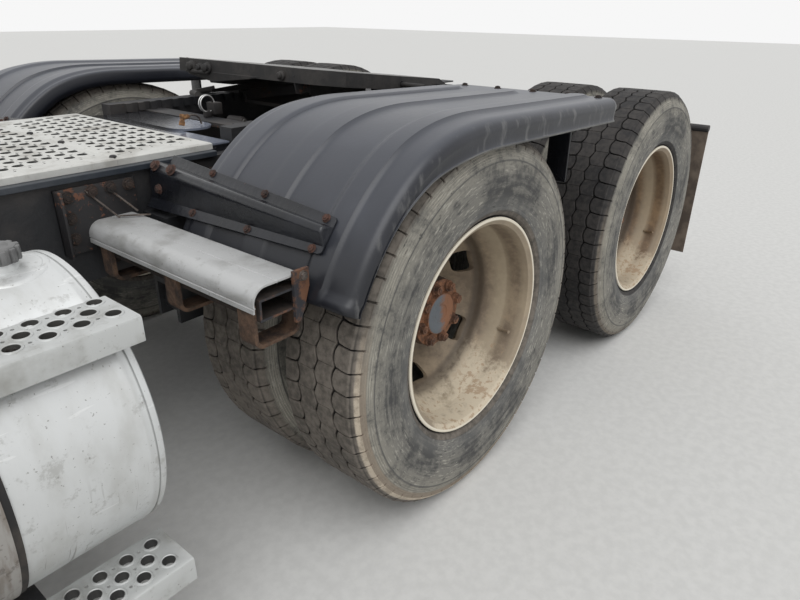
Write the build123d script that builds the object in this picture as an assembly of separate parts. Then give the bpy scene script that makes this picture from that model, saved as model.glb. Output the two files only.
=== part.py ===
from build123d import *
import math
import os

os.makedirs("parts", exist_ok=True)

# Rear rolling chassis of a semi truck tractor unit, in millimetres. X runs rearwards, Y to the
# truck's right and Z up, from the floor under the middle of the frame.

# Axles
axle_height = 548
front_axle_x = 120
tandem_spacing = 1372
rear_axle_x = front_axle_x + tandem_spacing
axle_places = [("front", front_axle_x), ("rear", rear_axle_x)]
# Sides of the truck: name, sign of Y, and the turn about X that points a wheel's Z outwards
sides = [("left", -1, 90), ("right", 1, -90)]

# Dual wheels: both discs clamp at this distance from the middle of the truck
dual_clamp_y = 921
dual_spacing = 343
fit_gap = 0.3

# Round parts are drawn with flats, so many on a wheel, a tank, a housing or a shaft
flat_count = 24
tank_flat_count = 32
housing_flat_count = 12
shaft_flat_count = 12

# Tyres
tyre_radius = 548
tyre_width = 279
tread_width = 212
shoulder_drop = 20
shoulder_width = 248
widest_radius = 430

# Disc wheels
seat_radius = 311
flange_radius = 327
rim_width = 209.6
flange_width = 12.7
lip_radius = 318
rim_wall = 8
crease_radius = 286
crease_depth = 205
disc_thickness = 11
disc_face_radius = 175
hand_hole_count = 6
hand_hole_inner_radius = 213
hand_hole_outer_radius = 258
hand_hole_flat_count = 2
hand_hole_first_index = 1

# Hubs and brake drums
hub_radius = 110
hub_nose_y = 1062
hub_inner_y = 700
hub_inner_radius = 95
hub_plate_radius = 172
hub_plate_thickness = 20
cap_flange_radius = 98
cap_flange_thickness = 16
drum_radius = 228
drum_wall = 16
drum_inner_y = 640
drum_shoulder_y = 856
drum_lap = 8

# Drive axles
spindle_radius = 52
spindle_end_y = 1040
spindle_shoulder_radius = 62
spindle_shoulder_y = 690
beam_size = 126
beam_end_y = 612
beam_chamfer = 20
spring_seat_half = 70
backing_plate_radius = 196
backing_plate_y = 624
backing_plate_thickness = 8
banjo_radius = 205
banjo_width = 150
cover_radius = 165
cover_small_radius = 115
cover_depth = 62
carrier_radius = 168
carrier_small_radius = 125
carrier_depth = 185
pinion_radius = 84
pinion_length = 30
pinion_rise = 45
flange_plate_radius = 90
flange_plate_thickness = 14
output_radius = 48
output_length = 90

# Frame
frame_length = 4360
rail_web_y = 432
rail_height = 270
rail_flange = 88
rail_wall = 8
rail_top = 985
rail_bottom = rail_top - rail_height
rail_inner_y = rail_web_y - rail_wall
frame_front = -frame_length / 2
frame_rear = frame_length / 2
# Crossmembers: X of the web, direction in which the flanges point
crossmembers = [(frame_front + 280, 1), (-1000, 1), (-180, -1), (806, 1), (frame_rear - 40, -1)]
crossmember_bottom = 735
crossmember_top = 965
crossmember_wall = 8
crossmember_flange = 70
end_plate_length = 170

# Deck behind the cab
deck_top = 1025
deck_thickness = 12
deck_half_width = 405
deck_panel_length = 297
deck_panel_pitch = 300
deck_panel_count = 4
deck_rear = -180
channel_width = 45
channel_wall = 6

# Plate behind the deck, on a bar across the rails
tail_bar_length = 82
tail_half_width = 390
tail_front = -115
tail_far_y = 320
tail_rear = 40
tail_end_y = -83
tail_top = 1018
tail_thickness = 7

# Fenders
fender_radius = 627
fender_skirt_radius = fender_radius - 37
fender_top_z = axle_height + fender_radius - 27
fender_rear_x = 855
fender_rear_z = fender_top_z - 20
fender_skirt_top_z = fender_top_z - 75
fender_skirt_rear_z = fender_rear_z - 41
fender_front_angle = 156
fender_wall = 6
fender_outer_y = 1240
fender_inner_y = 600
fender_bend_count = 7
rib_height = 9
# Ribs along each fender: inner edge, outer edge, place of the rear end
ribs = [(680, 760, 760), (830, 910, 780), (970, 1050, 780), (1100, 1160, 760)]

# Fender brackets
arm_angle = 140.5
arm_inner_y = 452
arm_outer_y = 1120
arm_inner_height = 122
arm_outer_height = 78
arm_flange = 22
arm_depth = 38
arm_wall = 6
stay_x = 820
stay_size = 50
stay_inner_y = 500
stay_outer_y = 1190
strip_y = 1080
strip_width = 80
strip_thickness = 12
strip_bottom = 838

# Tyre chain racks
rack_rear = front_axle_x - fender_radius + 47
rack_front = rack_rear - 138
rack_top = 878
rack_skirt_bottom = 823
rack_outer_y = 1110
rack_wall = 5
rack_front_radius = 45
rack_rear_radius = 14
hook_bottom = 738
hook_wall = 10
hook_width = 70
hook_centres = [505, 800, 1074]
rack_beam_bottom = 800
rack_beam_top = 850
rack_end_front = rack_rear - 35
rack_end_rear = rack_rear + 8
rack_end_bottom = 770
rack_end_top = 888
rack_end_thickness = 8

# Fuel tanks
tank_radius = 311
tank_wall = 5
tank_y = 787
tank_z = 630
tank_rear = -820
tank_length = 1250
tank_front = tank_rear - tank_length
tank_hollow_flat_count = 12
tank_hollow_gap = 10
strap_places = [-1795, -1095]
strap_width = 70
strap_wall = 3
bracket_wall = 18
# First and last corner of the straps and of the cradles, counted from the outer side upwards
strap_flat_counts = (-5, 13)
cradle_flat_counts = (14, 26)
bracket_width = 76
cap_x = -920
cap_y = 830
cap_top = 978
collar_radius = 62
collar_height = 24
cap_radius = 50

# Steps on the tanks: height of the tread, inner and outer edge
steps = [("upper", 893, 960, 1087), ("lower", 348, 994, 1124)]
step_rear = -816
step_length = 860
step_wall = 3
step_skirt = 45

# Air suspension
hanger_back = 500
hanger_length = 110
hanger_bottom = 555
hanger_top = 870
hanger_outer_y = 545
spring_inner_y = 450
spring_outer_y = 525
spring_thickness = 38
eye_radius = 42
eye_z = 600
spring_over_axle_z = 634
spring_rear_z = 535
bag_offset = 350
bag_y = 440
bag_radius = 122
piston_radius = 88
piston_height = 45
shock_y = 566
shock_radius = 30
shock_rod_radius = 24
chamber_y = 300
chamber_radius = 78
chamber_front = 330
chamber_rear = 175

# Drive line
shaft_radius = 50
centre_bearing_x = frame_front + 700
centre_bearing_z = 640
shaft_front_x = frame_front + 140
companion_radius = 90
bearing_length = 50
bearing_half_width = 90
bearing_rise = 100
bearing_bar = 40

# Air tanks between the rails
air_tank_radius = 105
air_tank_y = 190
air_tank_front = -880
air_tank_rear = -300
air_tank_bar = 15

# Fifth wheel
pivot_x = 705
pivot_z = 1098
plate_tilt = 6
plate_top = 57
plate_thickness = 13
plate_depth = 50
plate_front = -445
plate_rear = 455
plate_half_width = 475
plate_side_end = -60
plate_corner = 80
plate_rib = 12
plate_rib_places = [-300, -150, 72, 230]
ramp_outer_y = 350
throat_rear_y = 205
throat_half_width = 27
throat_neck_x = 75
ramp_angle = 14
ramp_length = 150
jaw_bore_radius = 25.7
jaw_half = 60
jaw_height = 34
ear_inner_y = 318
ear_gap = 62
ear_wall = 12
pivot_pin_radius = 19
slide_rail_inner_y = 340
slide_rail_outer_y = 400
slide_rail_top = 1050
slide_rail_front = -90
slide_rail_rear = 1030
rack_tooth_pitch = 50.8
rack_tooth_count = 20
rack_tooth_depth = 14
shoe_half_length = 225
shoe_top = 1062
saddle_bottom = 1006
saddle_top = 1020
saddle_half_length = 185
pedestal_foot = 150
pedestal_top_radius = 36
handle_radius = 9
handle_end_y = 584
handle_x = -55
handle_drop = 60
handle_gap = 3

# Slide release on a tie bar between the slide rails
tie_bar_front = 46
tie_bar_rear = 130
ring_x = 98
ring_radius = 31
ring_wall = 5
ring_width = 14
ring_post = 20
release_x = 70
release_start_y = -95
release_end_y = -215
release_radius = 24

# Mud flaps and lamps
flap_x = frame_rear - 60
flap_thickness = 8
flap_top = 858
flap_bottom = 228
flap_inner_y = 630
flap_outer_y = 1238
hanger_tube_radius = 16
lamp_radius = 52
lamp_depth = 28
lamp_z = 850
lamp_places = [170, 300]


def block(x, y, z):
    """Box between two values of X, of Y and of Z."""
    centre = Pos((x[0] + x[1]) / 2, (y[0] + y[1]) / 2, (z[0] + z[1]) / 2)
    return centre * Box(abs(x[1] - x[0]), abs(y[1] - y[0]), abs(z[1] - z[0]))


def rod(start, end, radius):
    """Round bar from one point to another."""
    way = Vector(*end) - Vector(*start)
    return extrude(Plane(origin=start, z_dir=way) * Circle(radius), way.length)


def prism(start, end, radius, flats):
    """Straight bar from one point to another, with flat sides at the radius."""
    way = Vector(*end) - Vector(*start)
    section = Plane(origin=start, z_dir=way) * RegularPolygon(radius, flats, major_radius=False)
    return extrude(section, way.length)


def side_profile(*points):
    """Face in the XZ plane through the given corners."""
    return Plane.XZ * make_face(Polyline(*points, close=True))


def across(face, y):
    """The face, drawn in the XZ plane, as a solid between two values of Y."""
    return Pos(0, y[0], 0) * extrude(face, y[1] - y[0], dir=(0, 1, 0))


def mirrored(shape):
    """The shape and its mirror image on the truck's other side."""
    return [shape, mirror(shape, about=Plane.XZ)]


def save(node, shapes):
    """Writes one sub-part with all its solids."""
    solids = [solid for shape in shapes for solid in shape.solids()]
    export_step(Compound(solids), f"parts/{node}.step")


def flat_wedge(points):
    """One flat's share of a ring round Z, from a profile of radius and height."""
    reach = 1.1 * max(radius for radius, height in points)
    half_side = reach * math.tan(math.pi / flat_count)
    bar = extrude(side_profile(*points), 2 * half_side, both=True)
    corner = make_face(Polyline((0, 0), (reach, -half_side), (reach, half_side), close=True))
    return bar & extrude(corner, 2 * hub_nose_y, both=True)


def ring_of_flats(wedges):
    """Ring round Z from its wedges in order, each turned to its place."""
    turn = 360 / flat_count
    return Part() + [Rot(0, 0, turn * index) * wedge for index, wedge in enumerate(wedges)]


def tyre(middle):
    """Tyre with its middle plane at the given height on the wheel's Z axis."""
    bead = rim_width / 2 - fit_gap
    half = [
        (seat_radius + fit_gap, bead),
        (widest_radius, tyre_width / 2),
        (tyre_radius - shoulder_drop, shoulder_width / 2),
        (tyre_radius, tread_width / 2),
    ]
    upper = [(radius, middle + offset) for radius, offset in half]
    lower = [(radius, middle - offset) for radius, offset in reversed(half)]
    return ring_of_flats([flat_wedge(upper + lower)] * flat_count)


def disc_wheel(outward):
    """Disc wheel with its disc on the clamp plane: outward is 1 for the outer wheel, -1 for the inner."""
    middle = dual_spacing / 2
    flange = rim_width / 2
    edge = flange + flange_width
    hub_hole = hub_radius + fit_gap
    crease = middle + edge - crease_depth
    profile = [
        (flange_radius, middle + edge),
        (seat_radius, middle + flange),
        (seat_radius, middle - flange),
        (flange_radius, middle - edge),
        (seat_radius, middle - edge),
        (disc_face_radius + disc_thickness, 0),
        (hub_hole, 0),
        (hub_hole, disc_thickness),
        (disc_face_radius, disc_thickness),
        (crease_radius, crease),
        (seat_radius - rim_wall, middle + flange),
        (lip_radius, middle + edge),
    ]
    placed = [(radius, dual_clamp_y + outward * height) for radius, height in profile]
    whole = flat_wedge(placed)
    hole = block(
        (hand_hole_inner_radius, hand_hole_outer_radius), (-flange_radius, flange_radius), (0, 2 * hub_nose_y)
    )
    # Each hand hole takes the same few flats of its share of the disc
    pattern = []
    for index in range(flat_count):
        place = (index - hand_hole_first_index) % (flat_count // hand_hole_count)
        pattern.append(whole - hole if place < hand_hole_flat_count else whole)
    return ring_of_flats(pattern)


def hub_with_drum():
    """Hub barrel with its plate, the brake drum on it and the cap flange over its nose."""
    bore = spindle_radius + fit_gap
    plate_face = dual_clamp_y - disc_thickness - fit_gap
    plate_back = plate_face - hub_plate_thickness
    inner = drum_radius - drum_wall
    profile = [
        (bore, hub_inner_y),
        (hub_inner_radius, hub_inner_y),
        (hub_inner_radius, plate_back),
        (hub_plate_radius, plate_back),
        (inner, drum_shoulder_y - drum_lap),
        (inner, drum_inner_y),
        (drum_radius, drum_inner_y),
        (drum_radius, drum_shoulder_y),
        (hub_plate_radius, plate_face),
        (hub_radius, plate_face),
        (hub_radius, hub_nose_y),
        (bore, hub_nose_y),
    ]
    hub = ring_of_flats([flat_wedge(profile)] * flat_count)
    return hub + prism((0, 0, hub_nose_y), (0, 0, hub_nose_y + cap_flange_thickness), cap_flange_radius, flat_count)


def wheel_sets():
    """Four dual wheel sets, each with its tyres, disc wheels and hub as separate sub-parts."""
    outer_middle = dual_clamp_y + dual_spacing / 2
    inner_middle = dual_clamp_y - dual_spacing / 2
    tyres = [tyre(outer_middle), tyre(inner_middle)]
    wheels = [disc_wheel(1), disc_wheel(-1)]
    hub = hub_with_drum()
    for axle_name, axle_x in axle_places:
        for side_name, sign, turn in sides:
            place = Pos(axle_x, 0, axle_height) * Rot(turn, 0, 0)
            save(f"tyres_{axle_name}_{side_name}", [place * piece for piece in tyres])
            save(f"wheels_{axle_name}_{side_name}", [place * piece for piece in wheels])
            save(f"hub_{axle_name}_{side_name}", [place * hub])


def drive_axle(axle_x, through_shaft):
    """Axle housing with banjo, cover, carrier and spindles. A through shaft leaves the front axle."""
    beam = side_profile(
        (-beam_size / 2, -beam_size / 2 + beam_chamfer),
        (-beam_size / 2 + beam_chamfer, -beam_size / 2),
        (beam_size / 2 - beam_chamfer, -beam_size / 2),
        (beam_size / 2, -beam_size / 2 + beam_chamfer),
        (beam_size / 2, beam_size / 2 - beam_chamfer),
        (beam_size / 2 - beam_chamfer, beam_size / 2),
        (-beam_size / 2 + beam_chamfer, beam_size / 2),
        (-beam_size / 2, beam_size / 2 - beam_chamfer),
    )
    half = banjo_width / 2
    nose_rear = -half - carrier_depth
    nose_front = nose_rear - pinion_length
    housing = across(beam, (-beam_end_y, beam_end_y))
    housing += prism((-half, 0, 0), (half, 0, 0), banjo_radius, housing_flat_count)
    for radius, depth in ((cover_radius, cover_depth / 2), (cover_small_radius, cover_depth)):
        housing += prism((half, 0, 0), (half + depth, 0, 0), radius, housing_flat_count)
    for radius, depth in ((carrier_radius, carrier_depth / 2), (carrier_small_radius, carrier_depth)):
        housing += prism((-half, 0, 0), (-half - depth, 0, 0), radius, housing_flat_count)
    housing += prism((-half, 0, pinion_rise), (nose_front, 0, pinion_rise), pinion_radius, housing_flat_count)
    if through_shaft:
        tail = half + output_length
        housing += prism((0, 0, pinion_rise), (tail, 0, pinion_rise), output_radius, shaft_flat_count)
    for sign in (-1, 1):
        housing += prism(
            (0, sign * beam_end_y, 0), (0, sign * spindle_shoulder_y, 0), spindle_shoulder_radius, housing_flat_count
        )
        housing += rod((0, sign * beam_end_y, 0), (0, sign * spindle_end_y, 0), spindle_radius)
        housing += prism(
            (0, sign * backing_plate_y, 0),
            (0, sign * (backing_plate_y - backing_plate_thickness), 0),
            backing_plate_radius,
            housing_flat_count,
        )
        seat_top = spring_over_axle_z - spring_thickness / 2 - axle_height
        housing += block(
            (-spring_seat_half, spring_seat_half), (sign * spring_inner_y, sign * spring_outer_y), (0, seat_top)
        )
    return Pos(axle_x, 0, axle_height) * housing


def frame_rail(sign):
    """C-section rail that opens towards the middle."""
    web = sign * rail_web_y
    inner = sign * rail_inner_y
    lip = sign * (rail_web_y - rail_flange)
    section = Plane.YZ * make_face(
        Polyline(
            (web, rail_bottom),
            (web, rail_top),
            (lip, rail_top),
            (lip, rail_top - rail_wall),
            (inner, rail_top - rail_wall),
            (inner, rail_bottom + rail_wall),
            (lip, rail_bottom + rail_wall),
            (lip, rail_bottom),
            close=True,
        )
    )
    return Pos(frame_front, 0, 0) * extrude(section, frame_length, dir=(1, 0, 0))


def crossmember(web_x, direction):
    """Channel between the rails with a bolted plate at each end."""
    wall = direction * crossmember_wall
    tip = web_x + direction * crossmember_flange
    width = (-rail_inner_y, rail_inner_y)
    beam = block((web_x, web_x + wall), width, (crossmember_bottom, crossmember_top))
    beam += block((web_x, tip), width, (crossmember_bottom, crossmember_bottom + crossmember_wall))
    beam += block((web_x, tip), width, (crossmember_top - crossmember_wall, crossmember_top))
    plate_end = web_x + direction * end_plate_length * 0.75
    plate_start = web_x - direction * end_plate_length * 0.2
    for sign in (-1, 1):
        thickness = (sign * rail_inner_y, sign * (rail_inner_y - crossmember_wall))
        beam += block((plate_start, plate_end), thickness, (crossmember_bottom, crossmember_top))
    return beam


def deck():
    """Deck plates in a row, and the channels that carry their edges on the rails."""
    plates = []
    for index in range(deck_panel_count):
        rear = deck_rear - index * deck_panel_pitch
        front = rear - deck_panel_length
        width = (-deck_half_width, deck_half_width)
        plates.append(block((front, rear), width, (deck_top - deck_thickness, deck_top)))
    front = deck_rear - deck_panel_count * deck_panel_pitch + deck_panel_pitch - deck_panel_length
    outer = deck_half_width + channel_width
    inner = deck_half_width - channel_width
    under = deck_top - deck_thickness
    channel = block((front, deck_rear), (-outer, -inner), (rail_top, under))
    channel += block((front, deck_rear), (-outer, -deck_half_width - 1), (rail_top, deck_top - 3))
    channel -= block(
        (front - 5, deck_rear + 5), (-deck_half_width, -inner + 5), (rail_top + channel_wall, under - channel_wall)
    )
    save("deck_plates", plates)
    save("deck_channels", mirrored(channel))


def fender_path(offset):
    """Corners of the fender's side view, moved inwards by the offset, front end first."""
    radius = fender_radius - offset
    slope = (fender_rear_z - fender_top_z) / (fender_rear_x - front_axle_x)
    rise = fender_top_z - offset - axle_height
    # Angle at which the bend about the axle meets the sloping top
    lean = math.atan(slope)
    meet = math.pi - math.asin(rise * math.cos(lean) / radius) + lean
    front = math.radians(fender_front_angle)
    points = []
    for index in range(fender_bend_count + 1):
        angle = front + (meet - front) * index / fender_bend_count
        points.append((radius * math.cos(angle), radius * math.sin(angle)))
    points.append((fender_rear_x - front_axle_x, fender_rear_z - offset - axle_height))
    return points


def fender_band(outer_offset, inner_offset, y):
    """Bent sheet between two offsets from the fender's outside, between two values of Y."""
    outline = fender_path(outer_offset) + fender_path(inner_offset)[::-1]
    return Pos(front_axle_x, 0, axle_height) * across(side_profile(*outline), y)


def fender():
    """Left half tandem fender with its outer skirt and raised ribs."""
    shell = fender_band(0, fender_wall, (-fender_outer_y, -fender_inner_y))
    solid_side = fender_band(0, fender_radius - fender_skirt_radius, (-fender_outer_y, -fender_outer_y + fender_wall))
    corner_x = -math.sqrt(fender_skirt_radius ** 2 - (fender_skirt_top_z - axle_height) ** 2) + front_axle_x
    top_skirt = side_profile(
        (corner_x, fender_skirt_top_z),
        (fender_rear_x, fender_skirt_rear_z),
        (fender_rear_x, fender_rear_z - 3),
        (front_axle_x, fender_top_z - 3),
        (corner_x, fender_top_z - 60),
    )
    skirt = across(top_skirt, (-fender_outer_y, -fender_outer_y + fender_wall))
    inner_lip = fender_band(0, 26, (-fender_inner_y - fender_wall, -fender_inner_y))
    body = shell + solid_side + skirt + inner_lip
    for inner, outer, rear_x in ribs:
        rib = fender_band(-rib_height, 1, (-outer, -inner))
        cut_front = rear_x
        rib &= block((frame_front, cut_front), (-2 * fender_outer_y, 0), (0, 2 * fender_top_z))
        body += rib
    notch_x = (stay_x - stay_size / 2 - strip_thickness - 5, stay_x + stay_size / 2 + 5)
    return body - block(notch_x, (-fender_inner_y - fender_wall - 1, -fender_inner_y + 1), (0, fender_rear_z - fender_wall))


def fender_arm():
    """Hat-section arm from the rail over the front of the left fender."""
    seat = fender_radius + rib_height + fit_gap
    cosine = math.cos(math.radians(arm_angle))
    sine = math.sin(math.radians(arm_angle))
    sections = []
    for y, height in ((-arm_inner_y, arm_inner_height), (-arm_outer_y, arm_outer_height)):
        half = height / 2
        crown = half - arm_flange
        points = [
            (-half, 0),
            (half, 0),
            (half, arm_wall),
            (crown, arm_wall),
            (crown - 8, arm_depth),
            (-crown + 8, arm_depth),
            (-crown, arm_wall),
            (-half, arm_wall),
        ]
        # Along runs up the fender's curve, out points away from the axle
        corners = [
            (
                front_axle_x + (seat + out) * cosine + along * sine,
                axle_height + (seat + out) * sine - along * cosine,
            )
            for along, out in points
        ]
        sections.append(Pos(0, y, 0) * side_profile(*corners))
    foot_x = (front_axle_x + seat * cosine - 20, front_axle_x + seat * cosine + 20)
    foot = block(foot_x, (-arm_inner_y - 30, -rail_web_y), (hanger_top + 20, rail_top - 5))
    return loft(sections, ruled=True) + foot


def fender_stay():
    """Rear arm of the left fender: foot on the rail, riser, tube under the fender, hanging strip."""
    x = (stay_x - stay_size / 2, stay_x + stay_size / 2)
    top_outer = fender_rear_z + (fender_rear_x - stay_x) * 0.0272 - fender_wall
    top = top_outer - 2
    tube = block(x, (-stay_outer_y, -stay_inner_y), (top - stay_size, top))
    riser = block(x, (-stay_inner_y - stay_size, -stay_inner_y), (rail_top - 75, top))
    foot = block(x, (-stay_inner_y - stay_size, -rail_web_y), (rail_top - 75, rail_top - 25))
    strip = block(
        (stay_x - stay_size / 2 - strip_thickness, stay_x - stay_size / 2),
        (-strip_y - strip_width / 2, -strip_y + strip_width / 2),
        (strip_bottom, top),
    )
    return tube + riser + foot + strip


def chain_rack():
    """Left tyre chain rack: cover, beam with its end plate, and hooks."""
    cover_profile = side_profile(
        (rack_front, rack_skirt_bottom),
        (rack_front, rack_top),
        (rack_rear, rack_top),
        (rack_rear, rack_skirt_bottom),
    )
    outer = across(cover_profile, (-rack_outer_y, -rail_web_y))
    front_edge = outer.edges().filter_by(Axis.Y).group_by(Axis.Z)[-1].sort_by(Axis.X)[0]
    outer = fillet(front_edge, rack_front_radius)
    rear_edge = outer.edges().filter_by(Axis.Y).group_by(Axis.Z)[-1].sort_by(Axis.X)[-1]
    outer = fillet(rear_edge, rack_rear_radius)
    hollow_profile = side_profile(
        (rack_front + rack_wall, rack_skirt_bottom - 1),
        (rack_front + rack_wall, rack_top - rack_wall),
        (rack_rear - rack_wall, rack_top - rack_wall),
        (rack_rear - rack_wall, rack_skirt_bottom - 1),
    )
    hollow = across(hollow_profile, (-rack_outer_y - 1, -rail_web_y + 1))
    hollow_edge = hollow.edges().filter_by(Axis.Y).group_by(Axis.Z)[-1].sort_by(Axis.X)[0]
    cover = outer - fillet(hollow_edge, rack_front_radius - rack_wall)
    inside_front = rack_front + rack_wall + fit_gap
    inside_rear = rack_rear - rack_wall - fit_gap
    beam = block(
        (inside_front + hook_wall, inside_rear - hook_wall),
        (-rack_outer_y - 2, -rail_web_y),
        (rack_beam_bottom, rack_beam_top),
    )
    beam -= block(
        (inside_front + hook_wall + 5, inside_rear - hook_wall - 5),
        (-rack_outer_y - 5, -rail_web_y - 6),
        (rack_beam_bottom + 5, rack_beam_top - 5),
    )
    end_plate = side_profile(
        (rack_end_front, rack_end_bottom),
        (rack_end_rear - 27, rack_end_bottom),
        (rack_end_rear, rack_end_bottom + 75),
        (rack_end_rear, rack_end_top),
        (rack_end_front, rack_end_top),
    )
    beam += across(end_plate, (-rack_outer_y - 2 - rack_end_thickness, -rack_outer_y - 2))
    top = rack_top - rack_front_radius
    hooks = []
    for centre in hook_centres:
        y = (-centre - hook_width / 2, -centre + hook_width / 2)
        hook = block((inside_front, inside_rear), y, (hook_bottom, top))
        hooks.append(hook - block(
            (inside_front + hook_wall, inside_rear - hook_wall), (y[0] - 1, y[1] + 1), (hook_bottom + hook_wall, top + 1)
        ))
    return cover, beam, hooks


def tank_cylinder(radius, front, rear):
    """Solid drum along X on the left tank's axis."""
    return prism((front, -tank_y, tank_z), (rear, -tank_y, tank_z), radius, tank_flat_count)


def fuel_tank():
    """Left fuel tank, hollow."""
    hollow = prism(
        (tank_front + tank_wall, -tank_y, tank_z), (tank_rear - tank_wall, -tank_y, tank_z),
        tank_radius - tank_wall - tank_hollow_gap, tank_hollow_flat_count
    )
    return tank_cylinder(tank_radius, tank_front, tank_rear) - hollow


def ring_sector(inner, outer, x, first_flat, last_flat):
    """Part of a ring about the left tank's axis. Flats are counted from the outer side upwards."""
    corner = 1 / math.cos(math.pi / tank_flat_count)
    points = []
    for radius, flats in ((outer, range(first_flat, last_flat + 1)), (inner, range(last_flat, first_flat - 1, -1))):
        for index in flats:
            angle = 2 * math.pi * index / tank_flat_count
            points.append((-tank_y - radius * corner * math.cos(angle), tank_z + radius * corner * math.sin(angle)))
    sector = Plane.YZ * make_face(Polyline(*points, close=True))
    return Pos(x[0], 0, 0) * extrude(sector, x[1] - x[0], dir=(1, 0, 0))


def tank_hangers():
    """Left tank's brackets on the rail with the lower step's arms, and the straps over the tank."""
    brackets = []
    straps = []
    seat = tank_radius + fit_gap
    for middle in strap_places:
        x = (middle - bracket_width / 2, middle + bracket_width / 2)
        cradle = ring_sector(seat, seat + bracket_wall, x, *cradle_flat_counts)
        foot = block(x, (-tank_y + 120, -rail_web_y), (tank_z - 60, tank_z + 150))
        foot -= tank_cylinder(seat, x[0] - 1, x[1] + 1)
        foot += block(x, (-rail_web_y - bracket_wall, -rail_web_y), (tank_z - 60, rail_top - 40))
        name, tread, inner, outer = steps[1]
        arm_top = tread - step_wall - fit_gap
        arm = block(x, (-outer + step_wall + 2, -tank_y), (arm_top - 28, arm_top))
        arm -= tank_cylinder(seat + strap_wall + fit_gap, x[0] - 1, x[1] + 1)
        brackets.append(cradle + foot + arm)
        strap_x = (middle - strap_width / 2, middle + strap_width / 2)
        straps.append(ring_sector(seat, seat + strap_wall, strap_x, *strap_flat_counts))
    return brackets, straps


def step_tray(tread, inner, outer):
    """Folded step tray on the left side, open below and towards the tank."""
    x = (step_rear - step_length, step_rear)
    tray = block(x, (-outer, -inner), (tread - step_skirt, tread))
    tray -= block(
        (x[0] + step_wall, x[1] - step_wall), (-outer + step_wall, -inner + 1), (tread - step_skirt - 1, tread - step_wall)
    )
    return tray - tank_cylinder(tank_radius + strap_wall + 2 * fit_gap, x[0] - 1, x[1] + 1)


def step_gussets():
    """Gussets that carry the left upper tray on the straps' places."""
    name, tread, inner, outer = steps[0]
    seat = tank_radius + fit_gap + strap_wall + fit_gap
    gussets = []
    for middle in strap_places:
        x = (middle - 5, middle + 5)
        if x[0] < step_rear - step_length:
            x = (step_rear - step_length + 40, step_rear - step_length + 50)
        top = tread - step_wall - fit_gap
        plate = block(x, (-outer + step_wall + 2, -inner), (top - 90, top))
        gussets.append(plate - tank_cylinder(seat, x[0] - 1, x[1] + 1))
    return gussets


def filler_cap():
    """Collar and cap on top of the left tank."""
    base = tank_z + tank_radius - 20
    shoulder = (cap_x, -cap_y, cap_top - collar_height)
    collar = prism((cap_x, -cap_y, base), shoulder, collar_radius, flat_count)
    collar -= tank_cylinder(tank_radius + fit_gap, cap_x - 100, cap_x + 100)
    return collar + prism(shoulder, (cap_x, -cap_y, cap_top), cap_radius, flat_count)


def suspension():
    """Hangers, trailing springs, air springs and shock absorbers of the left side, both axles."""
    hangers = []
    springs = []
    bags = []
    shocks = []
    chambers = []
    for name, axle_x in axle_places:
        x = (axle_x - hanger_back - hanger_length / 2, axle_x - hanger_back + hanger_length / 2)
        hanger = block(x, (-hanger_outer_y, -rail_web_y), (hanger_bottom, hanger_top))
        hanger -= block(
            (x[0] - 1, x[1] + 1), (-spring_outer_y - 4, -spring_inner_y + 4), (hanger_bottom - 1, eye_z + eye_radius + 20)
        )
        hangers.append(hanger)
        half = spring_thickness / 2
        eye_x = axle_x - hanger_back
        rise = spring_over_axle_z + half
        low = spring_rear_z + half
        spring_face = side_profile(
            (eye_x, eye_z + half),
            (axle_x - 150, rise),
            (axle_x + 90, rise),
            (axle_x + 200, low),
            (axle_x + bag_offset + 95, low),
            (axle_x + bag_offset + 95, low - spring_thickness),
            (axle_x + 185, low - spring_thickness),
            (axle_x + 75, rise - spring_thickness),
            (axle_x - 150, rise - spring_thickness),
            (eye_x, eye_z - half),
        )
        spring = across(spring_face, (-spring_outer_y, -spring_inner_y))
        spring += prism(
            (eye_x, -spring_outer_y - 3.7, eye_z), (eye_x, -spring_inner_y + 3.7, eye_z), eye_radius, shaft_flat_count
        )
        bag_x = axle_x + bag_offset
        pad = block((bag_x - 90, bag_x + 90), (-spring_outer_y, -bag_y + 70), (low - 12, low))
        springs.append(spring + pad)
        bag_bottom = low + fit_gap
        bag_top = rail_bottom - fit_gap
        bag = prism(
            (bag_x, -bag_y, bag_bottom), (bag_x, -bag_y, bag_bottom + piston_height), piston_radius, shaft_flat_count
        )
        bag += prism((bag_x, -bag_y, bag_bottom + piston_height), (bag_x, -bag_y, bag_top), bag_radius, housing_flat_count)
        bags.append(bag)
        foot = (axle_x - beam_size / 2 - 32, -shock_y, axle_height)
        head = (axle_x - 190, -shock_y, rail_top - 110)
        shock = prism(foot, head, shock_rod_radius, shaft_flat_count)
        split = tuple(a + (b - a) * 0.42 for a, b in zip(foot, head))
        shock += prism(split, head, shock_radius, shaft_flat_count)
        shock += block(
            (axle_x - beam_size / 2 - 40, axle_x - beam_size / 2), (-shock_y - 22, -shock_y + 22),
            (axle_height - 22, axle_height + 22)
        )
        shock += block(
            (head[0] - 30, head[0] + 30), (-shock_y - 20, -rail_web_y), (head[2] - 6, head[2] + 24)
        )
        shocks.append(shock)
        chamber = prism(
            (axle_x - chamber_front, -chamber_y, axle_height), (axle_x - chamber_rear, -chamber_y, axle_height),
            chamber_radius, shaft_flat_count,
        )
        chamber += block(
            (axle_x - chamber_rear, axle_x - beam_size / 2), (-chamber_y - 30, -chamber_y + 30),
            (axle_height - 12, axle_height + 12)
        )
        chambers.append(chamber)
    save("suspension_hangers", [piece for shape in hangers for piece in mirrored(shape)])
    save("spring_beams", [piece for shape in springs for piece in mirrored(shape)])
    save("air_springs", [piece for shape in bags for piece in mirrored(shape)])
    save("shock_absorbers", [piece for shape in shocks for piece in mirrored(shape)])
    save("brake_chambers", [piece for shape in chambers for piece in mirrored(shape)])


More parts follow.
